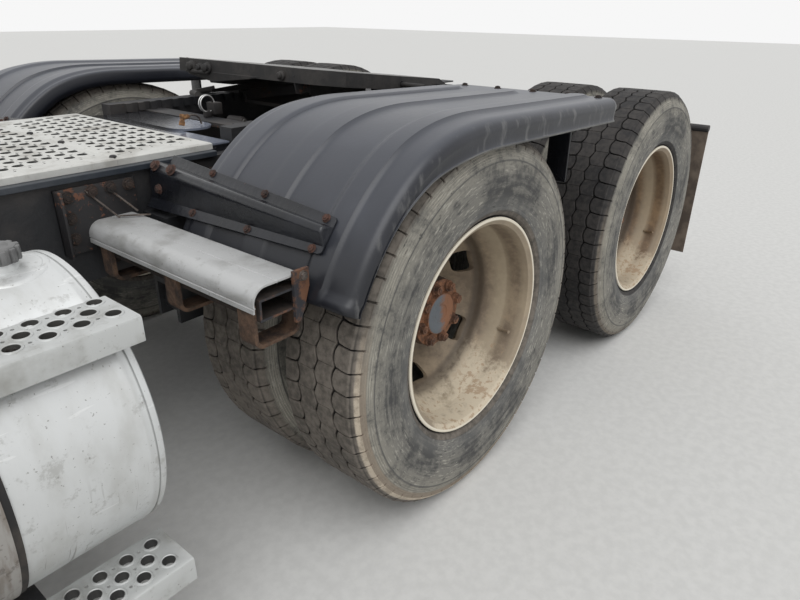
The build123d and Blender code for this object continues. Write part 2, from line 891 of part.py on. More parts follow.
def drive_shafts():
    """Main shaft with its front stub and companion flange, the inter-axle shaft, centre bearing."""
    input_z = axle_height + pinion_rise
    nose = banjo_width / 2 + carrier_depth + pinion_length
    front_input = front_axle_x - nose - fit_gap
    output = front_axle_x + banjo_width / 2 + output_length + fit_gap
    rear_input = rear_axle_x - nose - fit_gap
    plate = flange_plate_thickness
    # Height of each shaft's middle line at its two ends, between the flanges
    main = prism((shaft_front_x, 0, centre_bearing_z), (shaft_front_x + plate, 0, centre_bearing_z),
                 companion_radius, housing_flat_count)
    main += prism((shaft_front_x + plate, 0, centre_bearing_z), (centre_bearing_x, 0, centre_bearing_z),
                  shaft_radius, shaft_flat_count)
    main += prism((centre_bearing_x, 0, centre_bearing_z), (front_input - plate, 0, input_z), shaft_radius, shaft_flat_count)
    main += prism((front_input - plate, 0, input_z), (front_input, 0, input_z), flange_plate_radius, housing_flat_count)
    link = prism((output, 0, input_z), (output + plate, 0, input_z), flange_plate_radius, housing_flat_count)
    link += prism((output + plate, 0, input_z), (rear_input - plate, 0, input_z), shaft_radius, shaft_flat_count)
    link += prism((rear_input - plate, 0, input_z), (rear_input, 0, input_z), flange_plate_radius, housing_flat_count)
    save("drive_shafts", [main, link])
    bearing_x = centre_bearing_x - bearing_length
    bearing = block(
        (bearing_x - bearing_length / 2, bearing_x + bearing_length / 2),
        (-bearing_half_width, bearing_half_width),
        (centre_bearing_z - bearing_half_width, centre_bearing_z + bearing_rise),
    )
    bearing -= prism(
        (bearing_x - bearing_length, 0, centre_bearing_z), (bearing_x + bearing_length, 0, centre_bearing_z),
        shaft_radius + fit_gap, shaft_flat_count
    )
    bar = block(
        (bearing_x - bearing_length, bearing_x + bearing_length), (-rail_inner_y, rail_inner_y),
        (centre_bearing_z + bearing_rise, centre_bearing_z + bearing_rise + bearing_bar)
    )
    save("centre_bearing", [bearing + bar])


def air_tanks():
    """Two air tanks between the rails on cross bars."""
    tank_bottom = crossmember_bottom + air_tank_bar
    centre_z = tank_bottom + air_tank_radius
    piece = Part()
    for sign in (-1, 1):
        piece += prism(
            (air_tank_front, sign * air_tank_y, centre_z), (air_tank_rear, sign * air_tank_y, centre_z),
            air_tank_radius, housing_flat_count
        )
    for x in (air_tank_front + 100, air_tank_rear - 140):
        piece += block((x, x + 40), (-rail_inner_y, rail_inner_y), (tank_bottom - air_tank_bar, tank_bottom + 6))
    save("air_tanks", [piece])


def plate_outline():
    """Outline of the fifth wheel's top plate about its pivot, with the throat open to the rear."""
    left = [
        (plate_front, 0),
        (plate_front, plate_half_width - plate_corner),
        (plate_front + plate_corner, plate_half_width),
        (plate_side_end, plate_half_width),
        (plate_rear, ramp_outer_y),
        (plate_rear, throat_rear_y),
        (throat_neck_x, throat_half_width),
        (-throat_half_width / 2, throat_half_width),
        (-throat_half_width - 2, throat_half_width / 2),
    ]
    right = [(x, -y) for x, y in reversed(left[1:])]
    return make_face(Polyline(*left, *right, close=True))


def fifth_wheel_plate():
    """Top plate with its downturned edge, ribs, ramps and pivot ears, about the pivot."""
    outline = plate_outline()
    bottom = plate_top - plate_depth
    body = Pos(0, 0, bottom) * extrude(outline, plate_depth)
    pocket = offset(outline, amount=-plate_thickness)
    body -= Pos(0, 0, bottom - 1) * extrude(pocket, plate_depth - plate_thickness + 1)
    whole = Pos(0, 0, bottom) * extrude(outline, plate_depth - 5)
    reach = plate_half_width + plate_thickness
    for x in plate_rib_places:
        body += whole & block((x - plate_rib / 2, x + plate_rib / 2), (-reach, reach), (bottom, plate_top - 5))
    for sign in (-1, 1):
        for inner in (ear_inner_y, ear_inner_y + ear_wall + ear_gap):
            y = (sign * inner, sign * (inner + ear_wall))
            ear = across(side_profile((-70, bottom + 10), (70, bottom + 10), (30, -32), (-30, -32)), sorted(y))
            body += ear
        pin_inner = ear_inner_y
        pin_outer = ear_inner_y + 2 * ear_wall + ear_gap
        body += rod((0, sign * pin_inner, 0), (0, sign * pin_outer, 0), pivot_pin_radius)
    ramp = side_profile(
        (plate_rear - ramp_length, plate_top),
        (plate_rear + 10, plate_top),
        (plate_rear + 10, plate_top - (ramp_length + 10) * math.tan(math.radians(ramp_angle))),
    )
    body -= across(ramp, (-reach, reach))
    jaw_top = plate_top - plate_thickness
    pocket_half = jaw_half + fit_gap
    body -= block((-pocket_half, pocket_half), (-pocket_half, pocket_half), (bottom - 1, jaw_top))
    # Slot in the left skirt and the ribs' clearance for the release handle
    return body - handle_bar(handle_radius + handle_gap)


def handle_bar(radius):
    """Release bar from the lock to the truck's left, with its pull loop turned down, about the pivot."""
    height = plate_top - plate_thickness - jaw_height / 2
    corner = (handle_x, -handle_end_y, height)
    bar = prism((handle_x, -jaw_half + 2, height), corner, radius, shaft_flat_count)
    return bar + prism(corner, (handle_x, -handle_end_y, height - handle_drop), radius, shaft_flat_count)


def fifth_wheel():
    """Tilting plate with its lock and handle, sliding base, and the rails on the frame."""
    place = Pos(pivot_x, 0, pivot_z) * Rot(0, plate_tilt, 0)
    save("fifth_wheel_plate", [place * fifth_wheel_plate()])
    jaw_bottom = plate_top - plate_thickness - jaw_height - fit_gap
    jaw = block((-jaw_half, jaw_half), (-jaw_half, jaw_half), (jaw_bottom, jaw_bottom + jaw_height))
    jaw -= Pos(0, 0, jaw_bottom + jaw_height / 2) * Cylinder(jaw_bore_radius, jaw_height + 2)
    save("kingpin_lock", [place * (jaw + handle_bar(handle_radius))])

    shoes = Part()
    height = (slide_rail_top + fit_gap, shoe_top)
    x = (pivot_x - shoe_half_length, pivot_x + shoe_half_length)
    saddle_x = (pivot_x - saddle_half_length, pivot_x + saddle_half_length)
    inner = slide_rail_inner_y - rack_tooth_depth - 8
    pedestal_y = (ear_inner_y + ear_wall + 5, ear_inner_y + ear_wall + ear_gap - 5)
    for sign in (-1, 1):
        shoes += block(x, (sign * (inner - 14), sign * slide_rail_outer_y), height)
        shoes += block(saddle_x, (sign * (inner - 14), sign * inner), (saddle_bottom, shoe_top))
        foot = side_profile(
            (pivot_x - pedestal_foot, shoe_top - 2),
            (pivot_x + pedestal_foot, shoe_top - 2),
            (pivot_x + pedestal_top_radius, pivot_z),
            (pivot_x - pedestal_top_radius, pivot_z),
        )
        y = sorted((sign * pedestal_y[0], sign * pedestal_y[1]))
        pedestal = across(foot, y)
        pedestal += prism((pivot_x, y[0], pivot_z), (pivot_x, y[1], pivot_z), pedestal_top_radius, housing_flat_count)
        pedestal -= rod((pivot_x, y[0] - 1, pivot_z), (pivot_x, y[1] + 1, pivot_z), pivot_pin_radius + fit_gap)
        shoes += pedestal
    shoes += block(saddle_x, (-inner, inner), (saddle_bottom, saddle_top))
    save("fifth_wheel_slider", [shoes])

    rails = []
    for sign in (-1, 1):
        rail = block(
            (slide_rail_front, slide_rail_rear), (sign * slide_rail_inner_y, sign * slide_rail_outer_y),
            (rail_top, slide_rail_top)
        )
        for index in range(rack_tooth_count):
            tooth_x = slide_rail_front + 60 + index * rack_tooth_pitch
            rail += block(
                (tooth_x, tooth_x + rack_tooth_pitch / 2),
                (sign * (slide_rail_inner_y - rack_tooth_depth), sign * slide_rail_inner_y),
                (slide_rail_top - 30, slide_rail_top),
            )
        rails.append(rail)
    tie_bar = block(
        (tie_bar_front, tie_bar_rear), (-slide_rail_inner_y - 5, slide_rail_inner_y + 5), (saddle_bottom, saddle_top)
    )
    save("fifth_wheel_rails", [rails[0] + rails[1] + tie_bar])


def slide_release():
    """Release cylinder of the slide and the ring of its valve, both standing on the tie bar."""
    centre_z = saddle_top + ring_post + ring_radius
    ring = rod((ring_x, ring_width / 2, centre_z), (ring_x, -ring_width / 2, centre_z), ring_radius)
    ring -= rod((ring_x, ring_width, centre_z), (ring_x, -ring_width, centre_z), ring_radius - ring_wall)
    post = block(
        (ring_x - ring_width / 2, ring_x + ring_width / 2), (-ring_width / 2, ring_width / 2),
        (saddle_top, saddle_top + ring_post + ring_wall / 2)
    )
    cylinder_z = saddle_top + release_radius / math.cos(math.pi / shaft_flat_count)
    cylinder = prism(
        (release_x, release_start_y, cylinder_z), (release_x, release_end_y, cylinder_z), release_radius, shaft_flat_count
    )
    save("slide_release", [ring + post, cylinder])


def deck_tail():
    """Bar across the rails behind the deck, and the round-ended plate on it."""
    under = tail_top - tail_thickness
    front = deck_rear + 3
    bar = block((front, front + tail_bar_length), (-tail_half_width, tail_half_width), (rail_top, under))
    round_radius = (tail_rear - tail_front) / 2
    middle = (tail_front + tail_rear) / 2
    outline = make_face([
        Line((tail_front, tail_far_y), (tail_front, tail_end_y)),
        ThreePointArc((tail_front, tail_end_y), (middle, tail_end_y - round_radius), (tail_rear, tail_end_y)),
        Line((tail_rear, tail_end_y), (tail_rear, tail_far_y)),
        Line((tail_rear, tail_far_y), (tail_front, tail_far_y)),
    ])
    plate = Pos(0, 0, under) * extrude(outline, tail_thickness)
    save("deck_tail_plate", [bar + plate])


def rear_end():
    """Mud flaps on their hanger tubes, and the tail lamps on the last crossmember."""
    flap = block((flap_x - flap_thickness / 2, flap_x + flap_thickness / 2), (-flap_outer_y, -flap_inner_y),
                 (flap_bottom, flap_top))
    save("mud_flaps", mirrored(flap))
    tube_z = flap_top + hanger_tube_radius / math.cos(math.pi / shaft_flat_count) + fit_gap
    tube = prism((flap_x, -flap_outer_y, tube_z), (flap_x, -rail_web_y, tube_z), hanger_tube_radius, shaft_flat_count)
    save("mud_flap_hangers", mirrored(tube))
    lamps = []
    web_x = crossmembers[-1][0]
    for y in lamp_places:
        lamp = prism((web_x, -y, lamp_z), (web_x + lamp_depth, -y, lamp_z), lamp_radius, housing_flat_count)
        lamps.extend(mirrored(lamp))
    save("tail_lamps", lamps)


def main():
    wheel_sets()
    save("drive_axle_front", [drive_axle(front_axle_x, True)])
    save("drive_axle_rear", [drive_axle(rear_axle_x, False)])
    for side_name, sign, turn in sides:
        save(f"frame_rail_{side_name}", [frame_rail(sign)])
    save("crossmembers", [crossmember(x, direction) for x, direction in crossmembers])
    deck()
    fender_left, fender_right = mirrored(fender())
    save("fender_left", [fender_left])
    save("fender_right", [fender_right])
    save("fender_brackets", [*mirrored(fender_arm()), *mirrored(fender_stay())])
    cover, beam, hooks = chain_rack()
    save("chain_rack_covers", mirrored(cover))
    save("chain_rack_beams", mirrored(beam))
    save("chain_rack_hooks", [piece for hook in hooks for piece in mirrored(hook)])
    save("fuel_tanks", mirrored(fuel_tank()))
    brackets, straps = tank_hangers()
    save("tank_brackets", [piece for shape in brackets for piece in mirrored(shape)])
    save("tank_straps", [piece for shape in straps for piece in mirrored(shape)])
    trays = [step_tray(tread, inner, outer) for name, tread, inner, outer in steps]
    save("tank_steps", [piece for shape in [*trays, *step_gussets()] for piece in mirrored(shape)])
    save("filler_caps", mirrored(filler_cap()))
    suspension()
    drive_shafts()
    air_tanks()
    fifth_wheel()
    slide_release()
    deck_tail()
    rear_end()


main()
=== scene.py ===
import math
import bmesh
import bpy
from mathutils import Matrix, Vector


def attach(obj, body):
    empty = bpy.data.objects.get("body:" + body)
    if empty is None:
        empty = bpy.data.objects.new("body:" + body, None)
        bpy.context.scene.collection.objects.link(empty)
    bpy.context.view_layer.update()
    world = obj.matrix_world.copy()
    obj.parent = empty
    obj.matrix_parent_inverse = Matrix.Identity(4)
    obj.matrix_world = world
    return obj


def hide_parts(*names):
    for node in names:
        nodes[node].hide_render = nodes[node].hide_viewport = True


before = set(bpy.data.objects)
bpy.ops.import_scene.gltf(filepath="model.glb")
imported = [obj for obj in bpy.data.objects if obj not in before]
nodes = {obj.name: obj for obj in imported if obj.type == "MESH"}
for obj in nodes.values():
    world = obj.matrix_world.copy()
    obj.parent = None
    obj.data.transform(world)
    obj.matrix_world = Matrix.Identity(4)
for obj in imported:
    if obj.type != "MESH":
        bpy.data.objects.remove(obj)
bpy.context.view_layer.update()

# %% [markdown]
# # The rear end of a semi truck tractor, dressed over its CAD frame
# The frame holds the solids of a rolling chassis: rails, axles, eight tyres, fenders, tanks and
# the fifth wheel. This lesson gives each of them its finish, and replaces the ones whose form
# needs more detail than a solid has.

# %% [markdown]
# # The camera
# The photographer stands beside the left fuel tank, at head height, and looks over the fender
# to the rear. A camera could be aimed with a constraint. Here its matrix is built from its three
# angles, because the picture is rolled by a little under a degree.

# %% Camera
camera_place = Vector((-1.2969, -2.0562, 1.3877))
camera_yaw = 0.8906
camera_pitch = -0.4328
camera_roll = 0.0132
film_width = 36
focal_share = 627.43 / 800


def placed(name, data):
    """A new object of its data, in the scene."""
    made = bpy.data.objects.new(name, data)
    bpy.context.scene.collection.objects.link(made)
    return made


forward = Vector((
    math.sin(camera_yaw) * math.cos(camera_pitch),
    math.cos(camera_yaw) * math.cos(camera_pitch),
    math.sin(camera_pitch),
))
level_right = Vector((math.cos(camera_yaw), -math.sin(camera_yaw), 0))
level_up = level_right.cross(forward)
right = level_right * math.cos(camera_roll) + level_up * math.sin(camera_roll)
up = level_up * math.cos(camera_roll) - level_right * math.sin(camera_roll)
lens = bpy.data.cameras.new("camera")
lens.sensor_width = film_width
lens.lens = film_width * focal_share
camera = placed("camera", lens)
camera.matrix_world = Matrix.Translation(camera_place) @ Matrix((right, up, -forward)).transposed().to_4x4()
bpy.context.scene.camera = camera
print("lens", round(lens.lens, 2), "mm")

# %% [markdown]
# # Shader maths as expressions
# A node tree is hard to read when each node and link is written out. The class below wraps one
# output socket, so that sums and products of sockets read as they do on paper. Each operation
# adds one Math node. Colours and vectors go through other nodes, because a Math node would turn
# a colour grey.

# %% Socket class
class Sock:
    """One output of a node tree, with arithmetic."""

    def __init__(self, tree, socket):
        self.tree = tree
        self.socket = socket

    def node(self, kind, settings=None, inputs=None, output=0):
        """A new node of that kind, its settings first and then its inputs, by place or by name."""
        made = self.tree.nodes.new(kind)
        for name, value in (settings or {}).items():
            setattr(made, name, value)
        for name, value in (inputs or {}).items():
            if isinstance(value, Sock):
                self.tree.links.new(value.socket, made.inputs[name])
            else:
                made.inputs[name].default_value = value
        return Sock(self.tree, made.outputs[output])

    def math(self, operation, *values):
        """A Math node on this socket and further values."""
        inputs = {0: self}
        for place, value in enumerate(values):
            inputs[place + 1] = value
        return self.node("ShaderNodeMath", {"operation": operation}, inputs)

    def __add__(self, other):
        return self.math("ADD", other)

    def __sub__(self, other):
        return self.math("SUBTRACT", other)

    def __mul__(self, other):
        return self.math("MULTIPLY", other)

    def __truediv__(self, other):
        return self.math("DIVIDE", other)

    def __rsub__(self, other):
        return self.node("ShaderNodeMath", {"operation": "SUBTRACT"}, {0: other, 1: self})

    __radd__ = __add__
    __rmul__ = __mul__

    def clamp(self):
        """The value held between 0 and 1."""
        return self.node("ShaderNodeClamp", {}, {0: self})

    def step(self, low, high):
        """0 below low and 1 above high, with a smooth change between, or the other way round."""
        return self.node(
            "ShaderNodeMapRange",
            {"interpolation_type": "SMOOTHSTEP"},
            {"Value": self, "From Min": low, "From Max": high, "To Min": 0.0, "To Max": 1.0},
        )

    def over(self, base, colour):
        """Colour where this mask is 1, base where it is 0. Plain ones have levels up to 255."""
        inputs = {0: self.clamp()}
        for place, value in ((6, base), (7, colour)):
            inputs[place] = value if isinstance(value, Sock) else paint(*value)
        return self.node("ShaderNodeMix", {"data_type": "RGBA"}, inputs, output=2)


def paint(red, green, blue):
    """A colour as a photograph's numbers give it, made linear."""
    linear = []
    for level in (red, green, blue):
        share = level / 255
        linear.append(share / 12.92 if share <= 0.04045 else ((share + 0.055) / 1.055) ** 2.4)
    return (*linear, 1.0)


print("socket class ready")

# %% [markdown]
# # Starting a finish
# Every finish here reads Object coordinates, moved so that the pattern's own middle is at the
# origin. On a wheel this makes the distance from the axle a plain number, so mud can gather in
# rings. A second method fills the shader: what changes over the surface feeds colour, roughness,
# metal and bump, and nothing else.

# %% Finish class
class Finish:
    """A material under construction, with its coordinates and noises."""

    def __init__(self, name, centre=(0, 0, 0)):
        self.material = bpy.data.materials.new(name)
        self.material.use_nodes = True
        self.tree = self.material.node_tree
        self.shader = self.tree.nodes["Principled BSDF"]
        start = Sock(self.tree, None)
        place = start.node("ShaderNodeTexCoord", output=3)
        shift = [-value for value in centre]
        self.place = start.node("ShaderNodeMapping", {}, {"Vector": place, "Location": shift})
        self.parts = [start.node("ShaderNodeSeparateXYZ", {}, {0: self.place}, output=i) for i in range(3)]

    def noise(self, scale, detail=4.0, stretch=(1, 1, 1), roughness=0.55):
        """Noise in lumps of about one part in scale of a metre."""
        place = self.place
        if stretch != (1, 1, 1):
            place = place.node("ShaderNodeMapping", {}, {"Vector": place, "Scale": stretch})
        inputs = {"Vector": place, "Scale": scale, "Detail": detail, "Roughness": roughness}
        return place.node("ShaderNodeTexNoise", {}, inputs)

    def radius(self, first, second):
        """Distance from the middle, in the plane of two axes."""
        x = self.parts[first]
        y = self.parts[second]
        return (x * x + y * y).math("SQRT")

    def ring_noise(self, round_scale, radial_scale, detail=5.0):
        """Noise drawn out round a wheel's axle, so that it runs in rings."""
        reach = self.radius(0, 2)
        x = self.parts[0] / reach * round_scale
        z = self.parts[2] / reach * round_scale
        place = reach.node("ShaderNodeCombineXYZ", {}, {0: x, 1: reach * radial_scale, 2: z})
        inputs = {"Vector": place, "Scale": 1.0, "Detail": detail, "Roughness": 0.6}
        return place.node("ShaderNodeTexNoise", {}, inputs)

    def fill(self, colour, roughness=0.6, metal=0.0, bump=None, depth=0.001, coat=0.0):
        """Feeds the shader and gives back the material."""
        values = {"Base Color": colour, "Roughness": roughness, "Metallic": metal, "Coat Weight": coat}
        for name, value in values.items():
            if isinstance(value, Sock):
                self.tree.links.new(value.socket, self.shader.inputs[name])
            else:
                self.shader.inputs[name].default_value = value
        if bump is not None:
            inputs = {"Height": bump, "Distance": depth, "Strength": 1.0}
            normal = bump.node("ShaderNodeBump", {}, inputs)
            self.tree.links.new(normal.socket, self.shader.inputs["Normal"])
        return self.material


def layered(base, *coats):
    """Coats, each of a mask and a colour, laid over a base one after another."""
    for mask, colour in coats:
        base = mask.over(base, colour)
    return base


print("finish class ready")

# %% [markdown]
# # Finishes for metal
# An old truck's frame is black paint under road grime, with rust at the edges and round the
# bolts. The aluminium of tanks and steps is dull and streaked. Each finish mixes two or three
# noises of different sizes, because dirt has large patches and small specks at once.

# %% Metal finishes
def grimy_paint(name, base, dirt, rust, rust_share=0.62, gloss=0.45):
    """Dark paint with dust in patches and rust in spots."""
    work = Finish(name)
    patches = work.noise(5, 6)
    specks = work.noise(60, 3)
    rusty = (patches * 0.45 + specks * 0.55).step(rust_share, rust_share + 0.06)
    colour = layered(base, (patches.step(0.42, 0.68), dirt), (rusty, rust))
    rough = patches * 0.3 + gloss + rusty * 0.2
    return work.fill(colour, rough, bump=specks + rusty * 0.8, depth=0.0012)


def rusty_metal(name, light, dark, scale=22):
    """Bare steel that has rusted all over."""
    work = Finish(name)
    lumps = work.noise(scale, 8, roughness=0.7)
    grains = work.noise(scale * 7, 3)
    colour = layered(dark, (lumps.step(0.36, 0.66), light), (grains.step(0.58, 0.7), (84, 60, 48)))
    return work.fill(colour, 0.85, metal=0.15, bump=lumps + grains * 0.5, depth=0.0016)


def dull_aluminium(name, base, streak, along, rough, metal):
    """Weathered aluminium with streaks and small dark pits."""
    work = Finish(name)
    streaks = work.noise(9, 5, stretch=along)
    cloud = work.noise(3, 4)
    blots = work.noise(36, 7, roughness=0.75)
    pits = work.noise(140, 2)
    colour = layered(
        base,
        (streaks.step(0.45, 0.72), streak),
        (blots.step(0.55, 0.68) * 0.5, streak),
        (pits.step(0.68, 0.76) * 0.6, (96, 92, 84)),
    )
    return work.fill(colour, cloud * 0.25 + rough, metal=metal, bump=streaks + pits * 0.3, depth=0.0005)


frame_black = grimy_paint("frame_black", (31, 32, 35), (60, 57, 56), (92, 64, 50))
under_black = grimy_paint("under_black", (44, 42, 41), (82, 74, 66), (104, 74, 56), 0.6)
arm_black = grimy_paint("arm_black", (20, 22, 27), (32, 34, 40), (84, 58, 48), 0.68, 0.14)
hook_rust = rusty_metal("hook_rust", (104, 82, 66), (52, 43, 38), 24)
bolt_rust = rusty_metal("bolt_rust", (92, 64, 54), (52, 44, 42), 60)
bolt_dark = rusty_metal("bolt_dark", (66, 54, 48), (42, 39, 38), 30)
cover_metal = dull_aluminium("cover_metal", (192, 193, 193), (160, 160, 158), (1, 1, 3), 0.4, 0.35)
cap_metal = dull_aluminium("cap_metal", (126, 126, 126), (84, 84, 84), (1, 1, 1), 0.38, 0.6)
step_metal = dull_aluminium("step_metal", (196, 198, 197), (160, 160, 156), (1, 1, 1), 0.42, 0.45)
deck_metal = dull_aluminium("deck_metal", (208, 208, 204), (176, 174, 168), (1, 1, 1), 0.5, 0.25)
bracket_black = grimy_paint("bracket_black", (34, 33, 35), (60, 56, 54), (104, 70, 54), 0.52)
rod_steel = rusty_metal("rod_steel", (112, 104, 98), (70, 64, 60), 30)
silver = dull_aluminium("silver", (220, 220, 218), (170, 170, 168), (1, 1, 1), 0.3, 0.7)
channel_paint = grimy_paint("channel_paint", (46, 52, 60), (62, 66, 72), (60, 56, 54), 0.7, 0.2)
leg_grey = grimy_paint("leg_grey", (92, 90, 88), (70, 66, 62), (60, 52, 46))
brass = rusty_metal("brass", (176, 132, 88), (96, 70, 50), 60)
grease_black = grimy_paint("grease_black", (34, 32, 32), (62, 55, 50), (88, 64, 52), 0.6, 0.5)


tank_middle_x = -1.445


def tank_finish():
    """Pale weathered aluminium with blotches, scratches and thin runs of dirt low down."""
    work = Finish("tank_metal")
    streaks = work.noise(7, 6, stretch=(2, 1, 1))
    blots = work.noise(24, 7, roughness=0.72)
    pits = work.noise(150, 2)
    runs = work.noise(5, 3, stretch=(16, 0.6, 0.6))
    scratches = work.noise(11, 2, stretch=(0.5, 4, 5))
    low = work.parts[2].step(0.66, 0.50)
    # A thin groove runs round the tank beside the bead of weld near each end, darkened by painted shade
    end = (work.parts[0] - tank_middle_x).math("ABSOLUTE")
    groove_shade = (end - 0.6073).math("ABSOLUTE").step(0.0026, 0.0014)
    colour = layered(
        streaks.step(0.40, 0.72).over((214, 216, 216), (196, 197, 195)),
        (blots.step(0.56, 0.66) * 0.45, (158, 158, 154)),
        (scratches.step(0.660, 0.675) * 0.4, (236, 237, 237)),
        (runs.step(0.62, 0.66) * low * 0.55, (112, 106, 100)),
        (pits.step(0.68, 0.74) * 0.6, (110, 107, 102)),
        (groove_shade * 0.35, (128, 128, 126)),
    )
    return work.fill(colour, streaks * 0.2 + 0.32, metal=0.42, bump=blots * 0.6 + pits * 0.3, depth=0.0006)


def strap_finish():
    """Stainless strap with grey and brown runs of dirt."""
    work = Finish("strap_steel")
    runs = work.noise(22, 6, stretch=(3, 0.8, 0.5))
    specks = work.noise(70, 4)
    colour = runs.step(0.44, 0.64).over((164, 161, 157), (136, 129, 122))
    colour = (specks.step(0.58, 0.66) * 0.5).over(colour, (92, 84, 78))
    return work.fill(colour, 0.5, metal=0.3, bump=runs + specks * 0.4, depth=0.0006)


def plate_finish():
    """Greasy black plate whose upper face is worn bright in patches."""
    work = Finish("plate_steel")
    lumps = work.noise(14, 7, roughness=0.7)
    # At rest the plate tilts by 6 degrees, so its upper face is found along that slope
    height = work.parts[2] + work.parts[0] * 0.1051
    upper = height.step(1.2283, 1.2290)
    colour = lumps.step(0.4, 0.66).over((30, 29, 29), (50, 47, 45))
    wear = work.noise(9, 8, stretch=(0.5, 1, 1), roughness=0.68)
    grease = work.noise(4, 3).step(0.50, 0.62)
    worn = layered((70, 68, 66), (wear.step(0.36, 0.66), (146, 146, 144)), (grease * 0.8, (44, 42, 40)))
    return work.fill(upper.over(colour, worn), 0.7 - upper * 0.2, metal=upper * 0.4, bump=lumps,
                     depth=0.0018)


def tail_finish():
    """Glossy black paint, with a painted reflection of the sky towards the left rear corner."""
    work = Finish("tail_paint")
    specks = work.noise(60, 4)
    # The glare is a painted reflection of the sky on the upper face, towards the left rear corner
    glare = (work.parts[0] * 1.2 - work.parts[1]).step(-0.10, 0.07) * work.parts[2].step(1.004, 1.008)
    dark = specks.step(0.55, 0.66).over((26, 27, 31), (58, 58, 62))
    return work.fill(glare.over(dark, (120, 126, 140)), 0.16, bump=specks, depth=0.0004)


def lamp_lens():
    """Red lens with moulded ridges."""
    work = Finish("lamp_red")
    ridges = (work.parts[1] * 900).math("SINE")
    colour = work.noise(8).step(0.3, 0.8).over((150, 28, 26), (112, 22, 22))
    return work.fill(colour, 0.18, bump=ridges, depth=0.0004, coat=0.4)


def beam_finish():
    """Dark metal whose end, outside the rack's cover, has rusted brown."""
    work = Finish("beam_rust")
    lumps = work.noise(20, 7, roughness=0.7)
    beyond = work.parts[1].math("ABSOLUTE").step(1.1100, 1.1122)
    outer = lumps.step(0.49, 0.62).over((52, 52, 56), (116, 82, 62))
    inner = lumps.step(0.4, 0.65).over((40, 36, 34), (64, 54, 48))
    return work.fill(beyond.over(inner, outer), 0.85 - beyond * 0.15, metal=0.2, bump=lumps, depth=0.0012)


beam_rust = beam_finish()
strap_steel = strap_finish()
tank_metal = tank_finish()
plate_steel = plate_finish()
tail_paint = tail_finish()
lamp_red = lamp_lens()
print("metal finishes", len(bpy.data.materials))

# %% [markdown]
# # Finishes for rubber and plastic
# A tyre wears its dirt in rings: pale dried mud along the shoulder, grey smears on the side and
# brown dust on the tread, and painted shade darkens the floors of its grooves. The finish measures
# the distance from the axle and the height in the tyre's width, so each zone has its own colour.
# The fenders are smooth moulded plastic that mirrors the sky, with an even gloss; their finish
# adds a painted sky sheen where they face upwards and painted shade low down behind the rack.

# %% Rubber and plastic finishes
tyre_radius = 0.548
outer_tyre_y = 1.0925
inner_tyre_y = 0.7495


def tyre_rubber(name, axle_x, muddy, tread_dark, tread_light):
    """Rubber of both tyres of a dual wheel, with its zones of dirt."""
    work = Finish(name, (axle_x, 0, tyre_radius))
    reach = work.radius(0, 2)
    side = work.parts[1].math("ABSOLUTE")
    smear = work.noise(7, 7, roughness=0.7)
    fine = work.noise(55, 4)
    grain = work.noise(240, 2)
    rings = work.ring_noise(3.0, 60)
    scuffs = work.ring_noise(14, 190, 4)
    blots = work.noise(26, 6, roughness=0.75)
    dust = 0.25 + (blots * 0.6 + smear * 0.4).step(0.40, 0.55) * 0.75
    ribs = (reach * 1000).math("SINE").step(0.3, 0.9) * reach.step(0.489, 0.493) * reach.step(0.522, 0.517)
    rim_ring = reach.step(0.337, 0.340) * reach.step(0.350, 0.346)
    shoulder_ring = reach.step(0.482, 0.484) * reach.step(0.489, 0.487)
    wall = layered(
        (smear * 0.45 + rings * 0.3 + blots * 0.25).step(0.42, 0.56).over((66, 66, 66), (122, 120, 114)),
        (reach.step(0.405, 0.365) * 0.45, (112, 112, 110)),
        (reach.step(0.43, 0.49) * dust * 0.9, (139, 136, 127)),
        (scuffs.step(0.55, 0.64) * smear.step(0.42, 0.60) * 0.8, (170, 167, 157)),
        (scuffs.step(0.44, 0.36) * blots.step(0.5, 0.62) * 0.8, (48, 48, 48)),
        (ribs * smear.step(0.35, 0.65) * 0.6, (182, 176, 162)),
        ((rim_ring + shoulder_ring) * 0.6, (54, 55, 58)),
    )
    # Each place belongs to the nearer of the two tyres
    outer_side = (side - outer_tyre_y).math("ABSOLUTE")
    inner_side = (side - inner_tyre_y).math("ABSOLUTE")
    offset = outer_side.math("MINIMUM", inner_side)
    # Painted shade darkens the floors of the tread's grooves between the blocks
    groove_shade = reach.step(tyre_radius - 0.0040, tyre_radius - 0.0070) * offset.step(0.114, 0.106)
    tread = (smear * 0.5 + fine * 0.5).step(0.38, 0.62).over(tread_dark, tread_light)
    tread = groove_shade.over(tread, (22, 20, 19))
    # Mud dries on the outer shoulder, low down and towards the truck's front
    facing = (work.parts[0] * -0.72 - work.parts[2] * 0.50) / reach
    dirt = (fine * 0.4 + smear * 0.5 + facing * 0.30).step(0.30, 0.52) * muddy
    dirt = dirt * (work.parts[2] + smear * 0.2).step(0.34, 0.12) * outer_side.step(0.17, 0.15)
    brown = reach.step(0.5055, 0.5085) * offset.step(0.1160, 0.1200) * dirt
    bright = reach.step(0.5235, 0.5265) * offset.step(0.1140, 0.1175) * dirt
    bright = bright * (0.4 + blots.step(0.4, 0.56) * 0.6)
    colour = layered(
        offset.step(0.1265, 0.1235).over(wall, tread),
        (brown * 0.7, (142, 128, 112)),
        (bright * 0.9, (194, 182, 164)),
    )
    return work.fill(colour, smear * 0.2 + 0.72, bump=fine * 0.5 + grain + rings * 0.6 + ribs * 0.7,
                     depth=0.0009)


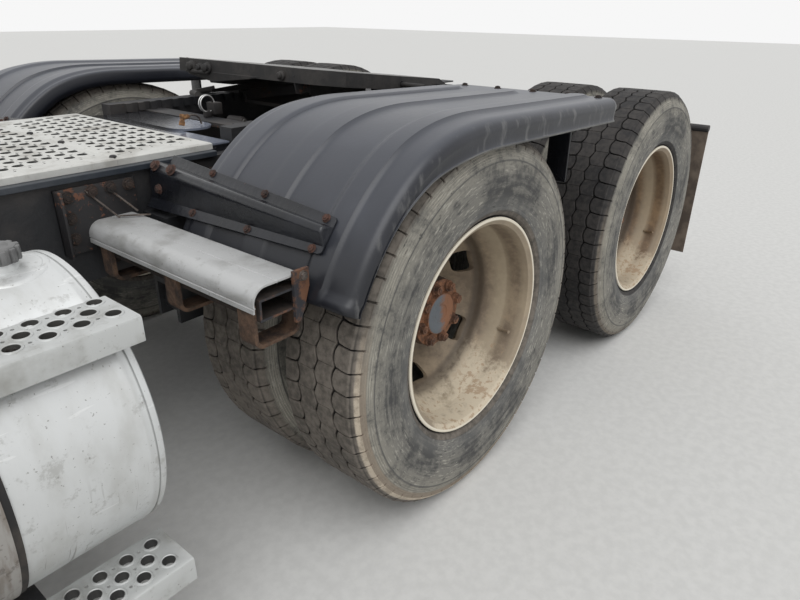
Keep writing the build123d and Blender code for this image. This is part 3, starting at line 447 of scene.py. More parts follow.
def fender_finish():
    """Moulded plastic, lighter where it faces upwards as a painted sky sheen, hazed by dust in patches, and
    darkened by painted shade low down behind the rack.
    """
    work = Finish("fender_plastic")
    haze = work.noise(4, 5)
    fine = work.noise(90, 3)
    runs = work.noise(30, 4, stretch=(1, 1, 0.25))
    facing = work.place.node("ShaderNodeNewGeometry", output=1)
    upwards = facing.node("ShaderNodeSeparateXYZ", {}, {0: facing}, output=2)
    # Faces that look upwards are lighter as a painted sheen of the sky; the haze noise adds real dust in
    # patches
    dust = upwards.step(0.35, 1.0) * 0.75 + haze.step(0.45, 0.75) * 0.25
    shaded = work.parts[2].step(0.99, 0.84) * work.parts[0].step(-0.30, -0.37)
    skirt = work.parts[1].math("ABSOLUTE").step(1.225, 1.236)
    colour = layered(
        dust.over((32, 34, 41), (79, 82, 90)),
        (shaded * 0.65, (20, 22, 27)),
        (skirt * runs.step(0.52, 0.68) * 0.6, (104, 104, 104)),
    )
    return work.fill(colour, haze * 0.15 + 0.28 + fine * 0.05, bump=fine, depth=0.00025)


def plain_rubber(name, base, dust):
    """Black rubber with dust on it."""
    work = Finish(name)
    dusty = work.noise(12, 6)
    fine = work.noise(120, 3)
    return work.fill(dusty.step(0.4, 0.66).over(base, dust), 0.8, bump=dusty + fine * 0.5, depth=0.0008)


fender_plastic = fender_finish()
fender_rim = grimy_paint("fender_rim", (118, 118, 116), (84, 84, 84), (60, 60, 60), 0.6, 0.4)
bag_rubber = plain_rubber("bag_rubber", (34, 33, 34), (74, 68, 62))
flap_rubber = plain_rubber("flap_rubber", (84, 74, 66), (116, 104, 92))
print("rubber finishes done")

# %% [markdown]
# # Meshes from operators
# Most pieces of a truck are round or folded. A round one is a chain of corners spun about an
# axis, and a folded one is a closed outline that is pushed along. Both start as a few vertices.
# Sharp edges are bevelled afterwards, since real steel and rubber have no perfect edge.

# %% Mesh helpers
def spun(profile, steps, closed=None):
    """A chain of (radius, height) corners spun about Z. It is a closed one if it stays off the axis."""
    if closed is None:
        closed = profile[0][0] > 0
    mesh = bmesh.new()
    verts = [mesh.verts.new((radius, 0, height)) for radius, height in profile]
    ends = verts[1:] + verts[:1] if closed else verts[1:]
    edges = [mesh.edges.new(pair) for pair in zip(verts, ends)]
    bmesh.ops.spin(
        mesh, geom=verts + edges, cent=(0, 0, 0), axis=(0, 0, 1), dvec=(0, 0, 0), angle=2 * math.pi,
        steps=steps, use_merge=True, use_normal_flip=False, use_duplicate=False,
    )
    bmesh.ops.remove_doubles(mesh, verts=mesh.verts, dist=1e-6)
    bmesh.ops.recalc_face_normals(mesh, faces=mesh.faces)
    return mesh


def pushed(outline, push):
    """A closed outline of points made a face and pushed along a vector."""
    mesh = bmesh.new()
    face = mesh.faces.new([mesh.verts.new(point) for point in outline])
    moved = bmesh.ops.extrude_face_region(mesh, geom=[face], use_keep_orig=True)["geom"]
    verts = [part for part in moved if isinstance(part, bmesh.types.BMVert)]
    bmesh.ops.translate(mesh, verts=verts, vec=push)
    bmesh.ops.recalc_face_normals(mesh, faces=mesh.faces)
    return mesh


def bevel(mesh, edges, width, segments):
    """Rounds edges over an even width."""
    bmesh.ops.bevel(
        mesh, geom=edges, offset=width, offset_type="OFFSET", affect="EDGES", segments=segments,
        profile=0.5, material=-1, clamp_overlap=True,
    )


def soften(mesh, width, segments=2, sharper_than=30):
    """Bevels every edge that is sharper than an angle."""
    limit = math.radians(sharper_than)
    edges = [edge for edge in mesh.edges if len(edge.link_faces) == 2 and edge.calc_face_angle() > limit]
    bevel(mesh, edges, width, segments)
    return mesh


def join(whole, part, place=None, finish=None, keep=False):
    """Adds a part to a whole, in its place and with its finish, or with the finishes that it has."""
    mesh = bpy.data.meshes.new("part")
    part.to_mesh(mesh)
    if not keep:
        part.free()
    if place is not None:
        mesh.transform(place)
    before = len(whole.faces)
    whole.from_mesh(mesh)
    whole.faces.ensure_lookup_table()
    if finish is not None:
        for face in whole.faces[before:]:
            face.material_index = finish
    bpy.data.meshes.remove(mesh)


def piece(name, mesh, body, finishes, stands_for=(), smooth=35, closed=True):
    """Makes the object of a mesh, on its body and in place of its nodes."""
    bmesh.ops.remove_doubles(mesh, verts=mesh.verts, dist=1e-6)
    if closed:
        bmesh.ops.recalc_face_normals(mesh, faces=mesh.faces)
    data = bpy.data.meshes.new(name)
    mesh.to_mesh(data)
    mesh.free()
    data.shade_smooth()
    data.set_sharp_from_angle(angle=math.radians(smooth))
    for finish in finishes:
        data.materials.append(finish)
    made = placed(name, data)
    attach(made, body)
    if stands_for:
        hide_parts(*stands_for)
    triangles = sum(len(face.vertices) - 2 for face in data.polygons)
    print(name, triangles, "triangles")
    return made


# %% [markdown]
# # Where the wheels are
# A dual wheel set has one outline for its tyres and wheels, drawn once with Z pointing outwards
# from the truck's middle. Turning it about X by a quarter puts it on the left or the right side.

# %% Wheel places
axles = [("front", 0.120), ("rear", 1.492)]
# Sides: name, sign of Y, turn about X in degrees
sides = [("left", -1, 90), ("right", 1, -90)]


def wheel_place(axle_x, turn):
    """Puts a piece drawn about Z on its axle, pointing outwards."""
    return Matrix.Translation((axle_x, 0, tyre_radius)) @ Matrix.Rotation(math.radians(turn), 4, "X")


def mirrored(sign):
    """A mirror across the truck's middle, or no change where the sign is 1."""
    return Matrix.Diagonal((1, sign, 1, 1))


print("wheel sets", len(axles) * len(sides))

# %% [markdown]
# # Tyres
# A drive tyre is a smooth carcass with rows of rubber blocks round its crown. The photograph
# shows four rows: two in the middle that fit into each other like honeycomb, and a square block
# on each shoulder with a curved groove between it and the next. The carcass is spun first.

# %% Carcass
groove_depth = 0.0085
carcass_half = [
    (0.3113, 0.1045), (0.3290, 0.1065), (0.3330, 0.1130), (0.3365, 0.1195), (0.3440, 0.1225),
    (0.3475, 0.1255), (0.3560, 0.1272), (0.3585, 0.1265), (0.3660, 0.1292), (0.3980, 0.1365),
    (0.4300, 0.1395), (0.4600, 0.1388), (0.4820, 0.1362), (0.4845, 0.1368), (0.4880, 0.1365),
    (0.4895, 0.1350), (0.5040, 0.1305), (0.5200, 0.1238), (0.5215, 0.1180), (0.5310, 0.1120),
    (0.5395, 0.1020), (0.5395, 0.0500),
]


def carcass():
    """The tyre without its blocks, about Z, with its middle at 0."""
    lower = [(radius, -height) for radius, height in reversed(carcass_half)]
    return spun(carcass_half + lower, 116)


print("corners of the carcass", 2 * len(carcass_half))

# %% [markdown]
# # Tread blocks
# The blocks of one pitch are drawn flat, pushed up, bevelled and bent to the tyre's circle. A
# spin that duplicates then copies them round it. Two tyres make the pair of each wheel set.

# %% Tread
pitch_count = 58
pitch = 2 * math.pi * tyre_radius / pitch_count
# Blocks of one pitch: corners as shares of the pitch along and millimetres across
shoulder_block = [
    (-0.46, 66), (-0.22, 59), (0.04, 57), (0.28, 60), (0.45, 67), (0.50, 84), (0.51, 104), (0.48, 122.5),
    (-0.44, 122.5), (-0.41, 104), (-0.42, 84),
]
middle_block = [(-0.494, 8.5), (-0.20, 2.5), (0.05, -2), (0.24, 1.5), (0.494, 8.5), (0.494, 59), (0.24, 53),
                (0.0, 50.5), (-0.24, 53), (-0.494, 59)]
tread_blocks = [
    (shoulder_block, 0, 1), (shoulder_block, 0.5, -1), (middle_block, 0, 1), (middle_block, 0.5, -1),
]
crown_half = 0.104
crown_drop = 1.02


def crown(across):
    """Radius of the tread's surface at a distance from the tyre's middle."""
    return tyre_radius - max(0.0, abs(across) - crown_half) * crown_drop


def tread_pitch():
    """The blocks of one pitch, in place on the crown."""
    mesh = bmesh.new()
    base = tyre_radius - groove_depth - 0.012
    for corners, shift, side in tread_blocks:
        outline = [(base, (along + shift) * pitch, side * across / 1000) for along, across in corners]
        block = pushed(outline, (tyre_radius - base, 0, 0))
        for height in (crown_half, -crown_half):
            geom = block.verts[:] + block.edges[:] + block.faces[:]
            bmesh.ops.bisect_plane(block, geom=geom, dist=1e-5, plane_co=(0, 0, height), plane_no=(0, 0, 1))
        for vert in block.verts:
            if vert.co.x > tyre_radius - 1e-4:
                vert.co.x = crown(vert.co.z)
            else:
                vert.co.x = crown(vert.co.z) - groove_depth - 0.006
        join(mesh, soften(block, 0.0011, 1, 40))
    # Short lugs on the tyre's side carry the shoulder's grooves over its edge
    for side, shift in ((1, 0), (-1, 0.5)):
        outline = [(0.5075, (shift - 0.42) * pitch, side * 0.122),
                   (0.5285, (shift - 0.44) * pitch, side * 0.1195),
                   (0.5285, (shift + 0.48) * pitch, side * 0.1195),
                   (0.5075, (shift + 0.46) * pitch, side * 0.122)]
        lug = pushed(outline, (0, 0, side * 0.0048))
        join(mesh, soften(lug, 0.0012, 1, 40))
    # The flat pitch is bent to the tyre's circle
    for vert in mesh.verts:
        angle = vert.co.y / tyre_radius
        radius = min(vert.co.x, crown(vert.co.z))
        vert.co = (radius * math.cos(angle), radius * math.sin(angle), vert.co.z)
    return mesh


def tyre():
    """One tyre about Z with its middle at 0."""
    whole = carcass()
    blocks = tread_pitch()
    geom = blocks.verts[:] + blocks.edges[:] + blocks.faces[:]
    share = (pitch_count - 1) / pitch_count
    bmesh.ops.spin(
        blocks, geom=geom, cent=(0, 0, 0), axis=(0, 0, 1), dvec=(0, 0, 0), angle=2 * math.pi * share,
        steps=pitch_count - 1, use_merge=False, use_normal_flip=False, use_duplicate=True,
    )
    join(whole, blocks)
    return whole


one_tyre = tyre()
# Share of mud and the two colours of the tread, by axle
rubbers = {
    "front": (1.0, (80, 75, 69), (116, 109, 101)),
    "rear": (0.25, (34, 33, 34), (62, 59, 57)),
}
for axle_name, axle_x in axles:
    rubber = tyre_rubber(f"tyre_rubber_{axle_name}", axle_x, *rubbers[axle_name])
    for side_name, sign, turn in sides:
        pair = bmesh.new()
        for height in (outer_tyre_y, inner_tyre_y):
            place = wheel_place(axle_x, turn) @ Matrix.Translation((0, 0, height))
            join(pair, one_tyre, place, keep=True)
        name = f"{axle_name}_{side_name}"
        piece(f"treaded_tyres_{name}", pair, f"wheel_set_{name}", [rubber],
              [f"tyres_{name}"])
one_tyre.free()

# %% [markdown]
# # Disc wheels
# Each steel wheel is a rolled rim with a pressed disc in it. On the outer wheel the disc lies
# deep inside, so the camera looks down a stepped barrel at six hand holes. The rim is spun from
# its section. The holes are cut with a Boolean, because a rounded hole through a sloping cone
# would be hard to draw by hand.

# %% Wheel section
# Corners as radius and distance outwards from the clamp plane
wheel_section = [
    (0.1103, 0.0), (0.1860, 0.0), (0.2050, 0.0240), (0.2340, 0.0600), (0.2540, 0.0900), (0.2850, 0.0900),
    (0.2930, 0.0600), (0.2980, 0.0540), (0.3110, 0.0540), (0.3180, 0.0540), (0.3235, 0.0552),
    (0.3265, 0.0582), (0.3255, 0.0612), (0.3215, 0.0630), (0.3160, 0.0645), (0.3122, 0.0680),
    (0.3110, 0.0740), (0.3110, 0.2690), (0.3122, 0.2750), (0.3160, 0.2785), (0.3215, 0.2800),
    (0.3252, 0.2818), (0.3268, 0.2850), (0.3258, 0.2880), (0.3225, 0.2893), (0.3180, 0.2885),
    (0.3140, 0.2850), (0.3095, 0.2815), (0.3050, 0.2790), (0.3030, 0.2740), (0.3026, 0.2610),
    (0.3008, 0.2560), (0.3002, 0.2480), (0.2965, 0.2380), (0.2950, 0.2080), (0.2935, 0.2030),
    (0.2905, 0.1980), (0.2870, 0.1840), (0.2740, 0.1560), (0.2650, 0.1400), (0.2620, 0.1320),
    (0.2610, 0.1220), (0.2590, 0.1150), (0.2540, 0.1060), (0.2300, 0.0710), (0.2000, 0.0360),
    (0.1900, 0.0240), (0.1790, 0.0150), (0.1700, 0.0110), (0.1103, 0.0110),
]
clamp_y = 0.921
hand_hole_count = 6
hand_hole_start = math.radians(23)


def hand_hole_cutter():
    """Rounded blocks that reach through the disc."""
    mesh = bmesh.new()
    outline = [(0.207, -0.040, -0.05), (0.207, 0.040, -0.05), (0.251, 0.047, -0.05), (0.251, -0.047, -0.05)]
    for index in range(hand_hole_count):
        block = pushed(outline, (0, 0, 0.2))
        upright = [edge for edge in block.edges if abs((edge.verts[0].co - edge.verts[1].co).z) > 0.1]
        bevel(block, upright, 0.017, 6)
        angle = hand_hole_start + index * math.tau / hand_hole_count
        join(mesh, block, Matrix.Rotation(angle, 4, "Z"))
    bmesh.ops.recalc_face_normals(mesh, faces=mesh.faces)
    return mesh


def cut(mesh, cutter):
    """The mesh with the cutter taken away."""
    objects = []
    for name, source in (("blank", mesh), ("cutter", cutter)):
        data = bpy.data.meshes.new(name)
        source.to_mesh(data)
        source.free()
        objects.append(placed(name, data))
    blank, tool = objects
    boolean = blank.modifiers.new("cut", "BOOLEAN")
    boolean.operation = "DIFFERENCE"
    boolean.solver = "EXACT"
    boolean.object = tool
    evaluated = blank.evaluated_get(bpy.context.evaluated_depsgraph_get())
    result = bmesh.new()
    result.from_mesh(evaluated.to_mesh())
    evaluated.to_mesh_clear()
    for made in objects:
        data = made.data
        bpy.data.objects.remove(made)
        bpy.data.meshes.remove(data)
    return result


def wheel():
    """A disc wheel about Z, with its disc on the plane at 0 and its barrel outwards."""
    return cut(spun(wheel_section, 120), hand_hole_cutter())


def wheel_steel(name, axle_x, dark, light, mud_share):
    """Cream paint under brake dust, rust and dried mud."""
    work = Finish(name, (axle_x, 0, tyre_radius))
    reach = work.radius(0, 2)
    side = work.parts[1].math("ABSOLUTE")
    low = work.parts[2]
    cloud = work.noise(6, 6)
    fine = work.noise(45, 5, roughness=0.65)
    band = side.step(1.070, 1.105) * side.step(1.150, 1.120)
    crease = reach.step(0.244, 0.256) * side.step(1.075, 1.050)
    mud = (low * -1.0 + fine * 0.25 + cloud * 0.30).step(0.46, 0.56) * reach.step(0.25, 0.28)
    rust = (fine * 0.7 + cloud * 0.3).step(0.54, 0.60) * low.step(-0.05, -0.2) * reach.step(0.26, 0.29)
    colour = layered(
        (cloud * 0.6 + fine * 0.4).step(0.35, 0.65).over(dark, light),
        (band * 0.55, (188, 174, 150)),
        (side.step(1.166, 1.190) * 0.5, (176, 162, 140)),
        (crease * 0.8, (78, 68, 58)),
        (mud * mud_share, (208, 196, 174)),
        (rust * 0.55, (146, 112, 80)),
        (reach.step(0.3165, 0.3195), (232, 224, 206)),
    )
    return work.fill(colour, cloud * 0.2 + 0.5, bump=fine + mud * 0.8, depth=0.0009)


# Two colours of the dust and the share of mud, by axle
wheel_dirt = {
    "front": ((116, 102, 86), (158, 142, 120), 0.85),
    "rear": ((96, 76, 56), (136, 112, 84), 0.6),
}
valve_profile = [(0, 0), (0.006, 0), (0.006, 0.02), (0.004, 0.024), (0.004, 0.042), (0.0055, 0.043),
                 (0.0055, 0.052), (0, 0.053)]
valve_place = (Matrix.Rotation(math.radians(-27), 4, "Z") @ Matrix.Translation((0.296, 0, 0.205))
               @ Matrix.Rotation(math.radians(-20), 4, "Y"))
one_wheel = wheel()
for axle_name, axle_x in axles:
    cream = wheel_steel(f"wheel_cream_{axle_name}", axle_x, *wheel_dirt[axle_name])
    for side_name, sign, turn in sides:
        pair = bmesh.new()
        centre = wheel_place(axle_x, turn) @ Matrix.Translation((0, 0, clamp_y))
        for flip in (1, -1):
            join(pair, one_wheel, centre @ Matrix.Diagonal((1, 1, flip, 1)), keep=True)
        join(pair, spun(valve_profile, 16), centre @ valve_place)
        name = f"{axle_name}_{side_name}"
        piece(f"disc_wheels_{name}", pair, f"wheel_set_{name}", [cream], [f"wheels_{name}"])
one_wheel.free()

# %% [markdown]
# # Hubs
# In the middle of each disc stands the hub with the flange of the axle shaft bolted to its nose.
# It has rusted to orange, its nuts stand out all round, and the flange's middle is worn to a
# blue grey. The barrel and the drum are spun, and one stud with its nut is copied round.

# %% Hub
hub_section = [
    (0.0523, 0.700), (0.095, 0.700), (0.095, 0.8897), (0.172, 0.8897), (0.208, 0.850), (0.212, 0.640),
    (0.228, 0.640), (0.228, 0.856), (0.222, 0.864), (0.172, 0.9097), (0.1102, 0.9097), (0.1090, 1.036),
    (0.1070, 1.048), (0.103, 1.054), (0.0523, 1.054),
]
cap_section = [
    (0, 1.0542), (0.1055, 1.0542), (0.1055, 1.0575), (0.1030, 1.0592), (0.0700, 1.0592), (0.0675, 1.0640),
    (0.0655, 1.0710), (0.0600, 1.0740), (0.0420, 1.0745), (0.0380, 1.0730), (0.0300, 1.0730),
    (0.0270, 1.0705), (0, 1.0695),
]
# Studs of the flange and nuts of the wheel: count, radius of their circle
stud_count = 8
stud_circle = 0.0885
nut_count = 10
nut_circle = 0.143
stud_cone = [(0, 1.0585), (0.0180, 1.0585), (0.0160, 1.0635), (0.0148, 1.0650), (0, 1.0650)]


def hex_nut(radius, height):
    """A nut with a chamfered top on its washer, and the stud's end."""
    mesh = bmesh.new()
    # Middle and depth as shares of the height, lower and upper radius as shares of the radius, sides
    for middle, depth, lower, upper, count in (
        (0.1, 0.2, 1.45, 1.35, 12), (0.5, 0.64, 1.15, 1.1, 6), (0.88, 0.22, 0.62, 0.52, 8),
    ):
        bmesh.ops.create_cone(
            mesh, cap_ends=True, segments=count, radius1=radius * lower, radius2=radius * upper,
            depth=height * depth, matrix=Matrix.Translation((0, 0, height * middle)),
        )
    return mesh


def worn_cap(axle_name, axle_x):
    """Rusty flange whose middle is worn to a blue grey."""
    work = Finish(f"hub_centre_{axle_name}", (axle_x, 0, tyre_radius))
    lumps = work.noise(45, 8, roughness=0.75)
    middle = work.radius(0, 2)
    rusty = lumps.step(0.36, 0.64).over((92, 66, 52), (150, 104, 74))
    across = work.parts[0] * 11 + lumps * 1.2
    grey = across.step(0.45, 0.85).over((104, 110, 116), (140, 98, 72))
    grey = (lumps.step(0.56, 0.66) * 0.5).over(grey, (74, 62, 56))
    colour = middle.step(0.0650, 0.0610).over(rusty, grey)
    return work.fill(colour, 0.7, metal=0.2, bump=lumps, depth=0.0014)


hub_rust = rusty_metal("hub_rust", (142, 102, 78), (78, 58, 48), 34)
drum_rust = rusty_metal("drum_rust", (96, 76, 62), (60, 50, 44), 14)
for axle_name, axle_x in axles:
    hub_centre = worn_cap(axle_name, axle_x)
    for side_name, sign, turn in sides:
        whole = bmesh.new()
        place = wheel_place(axle_x, turn)
        join(whole, spun(hub_section, 64), place, 1)
        join(whole, spun(cap_section, 64), place, 2)
        for index in range(stud_count):
            spin = place @ Matrix.Rotation(math.tau * (index + 0.3) / stud_count, 4, "Z")
            join(whole, spun(stud_cone, 12), spin @ Matrix.Translation((stud_circle, 0, 0)), 0)
            join(whole, hex_nut(0.0130, 0.019), spin @ Matrix.Translation((stud_circle, 0, 1.0640)), 0)
        for index in range(nut_count):
            spin = place @ Matrix.Rotation(math.tau * index / nut_count, 4, "Z")
            join(whole, hex_nut(0.0165, 0.034), spin @ Matrix.Translation((nut_circle, 0, 0.9325)), 0)
        name = f"{axle_name}_{side_name}"
        finishes = [hub_rust, drum_rust, hub_centre]
        piece(f"hub_and_drum_{name}", whole, f"wheel_set_{name}", finishes, [f"hub_{name}"])

# %% [markdown]
# # Fenders
# The half fenders are moulded shells that follow the front tyre and then run level to the rear.
# Raised ribs stiffen them, the inner edge is turned down a little, and the outer edge is rolled
# over into a skirt. One grid is laid over the whole shell. Each of its points is moved to its
# place along the path, and ribs and rims are a matter of how far it stands out.

# %% Fender shape
fender_radius = 0.627
front_axle_x = axles[0][1]
fender_top = 1.148
fender_rear = (0.855, 1.128)
fender_rows = 132
# Ribs: inner and outer edge in Y, and the X of their rounded rear end
ribs = [(0.636, 0.728, 0.715), (0.850, 0.940, 0.745), (1.080, 1.158, 0.835)]
rib_height = 0.009
rib_rise = rib_height - 0.0005
rib_edge = 0.011
skirt_front = 0.037
skirt_growth = 0.038
blend = 0.17


def ease(low, high, value):
    """0 to 1 with a smooth change between two values."""
    share = min(1.0, max(0.0, (value - low) / (high - low)))
    return share * share * (3 - 2 * share)


lean = math.atan((fender_rear[1] - fender_top) / (fender_rear[0] - front_axle_x))
bend_end = math.pi - math.asin((fender_top - tyre_radius) * math.cos(lean) / fender_radius) + lean
bend_start = math.radians(156)
bend_length = fender_radius * (bend_start - bend_end)
bend_foot = Vector((front_axle_x + fender_radius * math.cos(bend_end),
                    tyre_radius + fender_radius * math.sin(bend_end)))
run_length = (Vector(fender_rear) - bend_foot).length
path_length = bend_length + run_length


def arc_place(along):
    """Place and outward direction on the arc round the wheel."""
    angle = bend_start - along / fender_radius
    out = Vector((math.cos(angle), math.sin(angle)))
    return Vector((front_axle_x, tyre_radius)) + out * fender_radius, out


run_out = Vector((-math.sin(lean), math.cos(lean)))
arc_end, arc_out = arc_place(bend_length - blend)
run_start = bend_foot.lerp(Vector(fender_rear), blend / run_length)
arc_way = Vector((arc_out.y, -arc_out.x))
run_way = Vector((run_out.y, -run_out.x))
gap = run_start - arc_end
corner = arc_end + arc_way * (gap.cross(run_way) / arc_way.cross(run_way))


def fender_path(along):
    """Place on the fender's outside and the direction away from the wheel, both in X and Z."""
    if along < bend_length - blend:
        return arc_place(along)
    if along > bend_length + blend:
        share = (along - bend_length) / run_length
        return bend_foot.lerp(Vector(fender_rear), share), run_out
    share = (along - bend_length + blend) / (2 * blend)
    first = arc_end.lerp(corner, share)
    second = corner.lerp(run_start, share)
    way = (second - first).normalized()
    return first.lerp(second, share), Vector((-way.y, way.x))


# Stations across the shell: distance from the truck's middle, drop, share of the skirt
inner_edge = 0.600
outer_edge = 1.240
corner_radius = 0.030
stations = [(inner_edge + inward, drop, 0) for inward, drop in (
    (0, 0.056), (0, 0.036), (0.001, 0.012), (0.004, 0.004), (0.010, 0),
)]
flat_end = outer_edge - corner_radius
flat_start = inner_edge + 0.018
flat_count = 76
for index in range(flat_count + 1):
    stations.append((flat_start + (flat_end - flat_start) * index / flat_count, 0, 0))
for index in range(1, 7):
    angle = math.radians(90 * index / 6)
    stations.append((flat_end + corner_radius * math.sin(angle), corner_radius * (1 - math.cos(angle)), 0))
# The skirt stands back a little, and its lower rim is flared
for back, share in (
    (0.0010, 0.12), (0.0030, 0.3), (0.0035, 0.55), (0.0035, 0.80), (0.0015, 0.87), (0.0001, 0.90), (0, 1.0),
):
    stations.append((outer_edge - back, corner_radius, share))


def rib_lift(x, across):
    """How far the ribs lift the shell at a place."""
    rise = 0.0
    for inner, outer, rear in ribs:
        middle = (inner + outer) / 2
        half = (outer - inner) / 2
        beyond = max(0.0, x - (rear - half))
        distance = math.hypot(beyond, across - middle)
        rise = max(rise, 1 - ease(half - rib_edge, half, distance))
    return rise * rib_rise


def fender_shell():
    """The right fender's shell, still without the thickness of its wall."""
    columns = len(stations) - 1
    mesh = bmesh.new()
    bmesh.ops.create_grid(mesh, x_segments=fender_rows, y_segments=columns, size=0.5)
    for vert in mesh.verts:
        across, drop, skirt = stations[round((vert.co.y + 0.5) * columns)]
        along = path_length * round((vert.co.x + 0.5) * fender_rows) / fender_rows
        place, out = fender_path(along)
        depth = skirt_front + skirt_growth * ease(0.15, bend_length + 0.05, along)
        inwards = drop + skirt * (depth - corner_radius)
        lift = rib_lift(place.x, across) if drop == 0 else 0.0
        # A bead runs across the front edge
        bead = ease(0.034, 0.016, along) - 0.7 * ease(0.012, 0.0, along)
        lift = max(lift, rib_rise * bead * (1 if skirt == 0 else 0.5))
        spot = place + out * (lift - inwards)
        vert.co = (spot.x, across, spot.y)
    mesh.normal_update()
    middle = min(mesh.faces, key=lambda face: (face.calc_center_median() - Vector((0.3, 0.92, 1.2))).length)
    if middle.normal.z < 0:
        bmesh.ops.reverse_faces(mesh, faces=mesh.faces)
    # The flared rim of the skirt is paler, except at the front
    rim = outer_edge - 0.0012
    for face in mesh.faces:
        is_rim = all(vert.co.y > rim for vert in face.verts) and any(edge.is_boundary for edge in face.edges)
        if is_rim and face.calc_center_median().z > 0.87:
            face.material_index = 1
    return mesh


for side_name, sign, turn in sides:
    shell = fender_shell()
    if sign < 0:
        bmesh.ops.scale(shell, vec=(1, -1, 1), verts=shell.verts)
        bmesh.ops.reverse_faces(shell, faces=shell.faces)
    finishes = [fender_plastic, fender_rim]
    fender = piece(f"ribbed_fender_{side_name}", shell, "chassis", finishes,
                   [f"fender_{side_name}"], smooth=40, closed=False)
    wall = fender.modifiers.new("wall", "SOLIDIFY")
    wall.thickness = 0.005
    wall.offset = -1
    wall.use_even_offset = False

# %% [markdown]
# # Fender arms and stays
# The front of each fender hangs on a pressed arm: between its two flanges a long face slopes up
# to a narrow rounded crown. It is wider at the frame than at its end. It is drawn flat, bevelled,
# tapered and then turned to its place over the wheel. The rear of the fender rests on a square
# tube on a riser.

# %% Arms and stays
arm_angle = math.radians(140.5)
arm_out = Vector((math.cos(arm_angle), 0, math.sin(arm_angle)))
arm_up = Vector((math.sin(arm_angle), 0, -math.cos(arm_angle)))
arm_seat = Vector((front_axle_x, 0, tyre_radius)) + arm_out * (fender_radius + rib_height + 0.0053)
arm_inner = 0.452
arm_length = 0.668
arm_height = 0.052
arm_flange = 0.005
arm_lowering = 0.34
seat_radius = fender_radius + rib_height + 0.0003
# Across the arm at its inner and outer end: lower edge, foot of the face, crown, wall's foot, upper edge
arm_wide = (-0.081, -0.052, 0.010, 0.036, 0.054, 0.081)
arm_narrow = (-0.045, -0.026, -0.005, 0.011, 0.021, 0.045)
# The arm's middle lies a little below the radius that it is drawn on, at its inner and outer end
arm_shift = (-0.009, -0.021)


def bar(x, y, z, edge=0.003):
    """A bar with soft edges between two X, two Y and two Z."""
    outline = [(x[0], y[0], z[0]), (x[1], y[0], z[0]), (x[1], y[1], z[0]), (x[0], y[1], z[0])]
    return soften(pushed(outline, (0, 0, z[1] - z[0])), edge)


def knots_moved(value, knots, targets):
    """A value between two knots, taken over to between their targets."""
    index = 0
    while index < len(knots) - 2 and value > knots[index + 1]:
        index += 1
    part = (value - knots[index]) / (knots[index + 1] - knots[index])
    return targets[index] + (targets[index + 1] - targets[index]) * part


def hat_arm():
    """The left arm, drawn as wide as it is at the frame, then narrowed and put over the wheel."""
    low, low_wall, crown_low, crown_high, high_wall, high = arm_wide
    profile = [(low, 0), (high, 0), (high, arm_flange), (high_wall, arm_flange), (crown_high, arm_height),
               (crown_low, arm_height), (low_wall, arm_flange), (low, arm_flange)]
    mesh = pushed([(along, -arm_inner, out) for along, out in profile], (0, -arm_length, 0))
    outer_y = -arm_inner - arm_length + 0.001
    end = [edge for edge in mesh.edges if max(vert.co.y for vert in edge.verts) < outer_y]
    corners = [edge for edge in end if max(vert.co.z for vert in edge.verts) < arm_flange + 0.001
               and abs(edge.verts[0].co.x - edge.verts[1].co.x) < 1e-6]
    crown_z = arm_height - 0.001
    crown = [edge for edge in mesh.edges if min(vert.co.z for vert in edge.verts) > crown_z]
    crown += [edge for edge in end if edge not in crown and max(vert.co.z for vert in edge.verts) > crown_z]
    bevel(mesh, corners, 0.012, 5)
    bevel(mesh, [edge for edge in crown if edge.is_valid], 0.0125, 5)
    soften(mesh, 0.0012, 1, 40)
    for vert in mesh.verts:
        wide, y, out = vert.co
        share = (-y - arm_inner) / arm_length
        narrow = knots_moved(wide, arm_wide, arm_narrow)
        along = wide + arm_shift[0] + (narrow - wide + arm_shift[1] - arm_shift[0]) * share
        if out > arm_flange + 0.0001:
            out = arm_flange + (out - arm_flange) * (1 - arm_lowering * share)
        vert.co = Vector((front_axle_x, y, tyre_radius)) + arm_out * (seat_radius + out) + arm_up * along
    return mesh


both_arms = bmesh.new()
seat_x = front_axle_x + seat_radius * math.cos(arm_angle)
# Bars of one side: X, Y and Z
left_bars = [
    ((seat_x - 0.020, seat_x + 0.020), (-0.482, -0.432), (0.890, 0.980)),
    ((0.795, 0.845), (-1.190, -0.500), (1.071, 1.1209)),
    ((0.795, 0.845), (-0.550, -0.500), (0.910, 1.1209)),
    ((0.795, 0.845), (-0.550, -0.432), (0.910, 0.960)),
    ((0.783, 0.795), (-1.120, -1.040), (0.838, 1.1209)),
]
for side_name, sign, turn in sides:
    join(both_arms, hat_arm(), mirrored(-sign))
    for x, y, z in left_bars:
        join(both_arms, bar(x, y, z), mirrored(-sign))
piece("hat_section_arms", both_arms, "chassis", [arm_black], ["fender_brackets"])

# %% [markdown]
# # Bolts
# Bolts hold the fender to its arm and its stay, and the arm, the rack and the crossmembers to
# the rails. A hexagon head on a washer is made once and copied to a table of places. Each row of
# the table gives a start, a step, a count and the direction in which the head points.

# %% Bolt rows
def pointed(place, direction):
    """Puts a piece that is drawn about Z at a place, pointing in a direction."""
    turn = Vector((0, 0, 1)).rotation_difference(Vector(direction))
    return Matrix.Translation(place) @ turn.to_matrix().to_4x4()


def bolt_rows(name, rows, finish=bolt_rust):
    """Bolt heads along rows, mirrored to the right side."""
    whole = bmesh.new()
    for start, step, count, direction, radius in rows:
        for index in range(count):
            x, y, z = Vector(start) + Vector(step) * index
            for sign in (1, -1):
                facing = (direction[0], direction[1] * sign, direction[2])
                join(whole, hex_nut(radius, radius * 0.95), pointed((x, y * sign, z), facing))
    return piece(name, whole, "chassis", [finish])


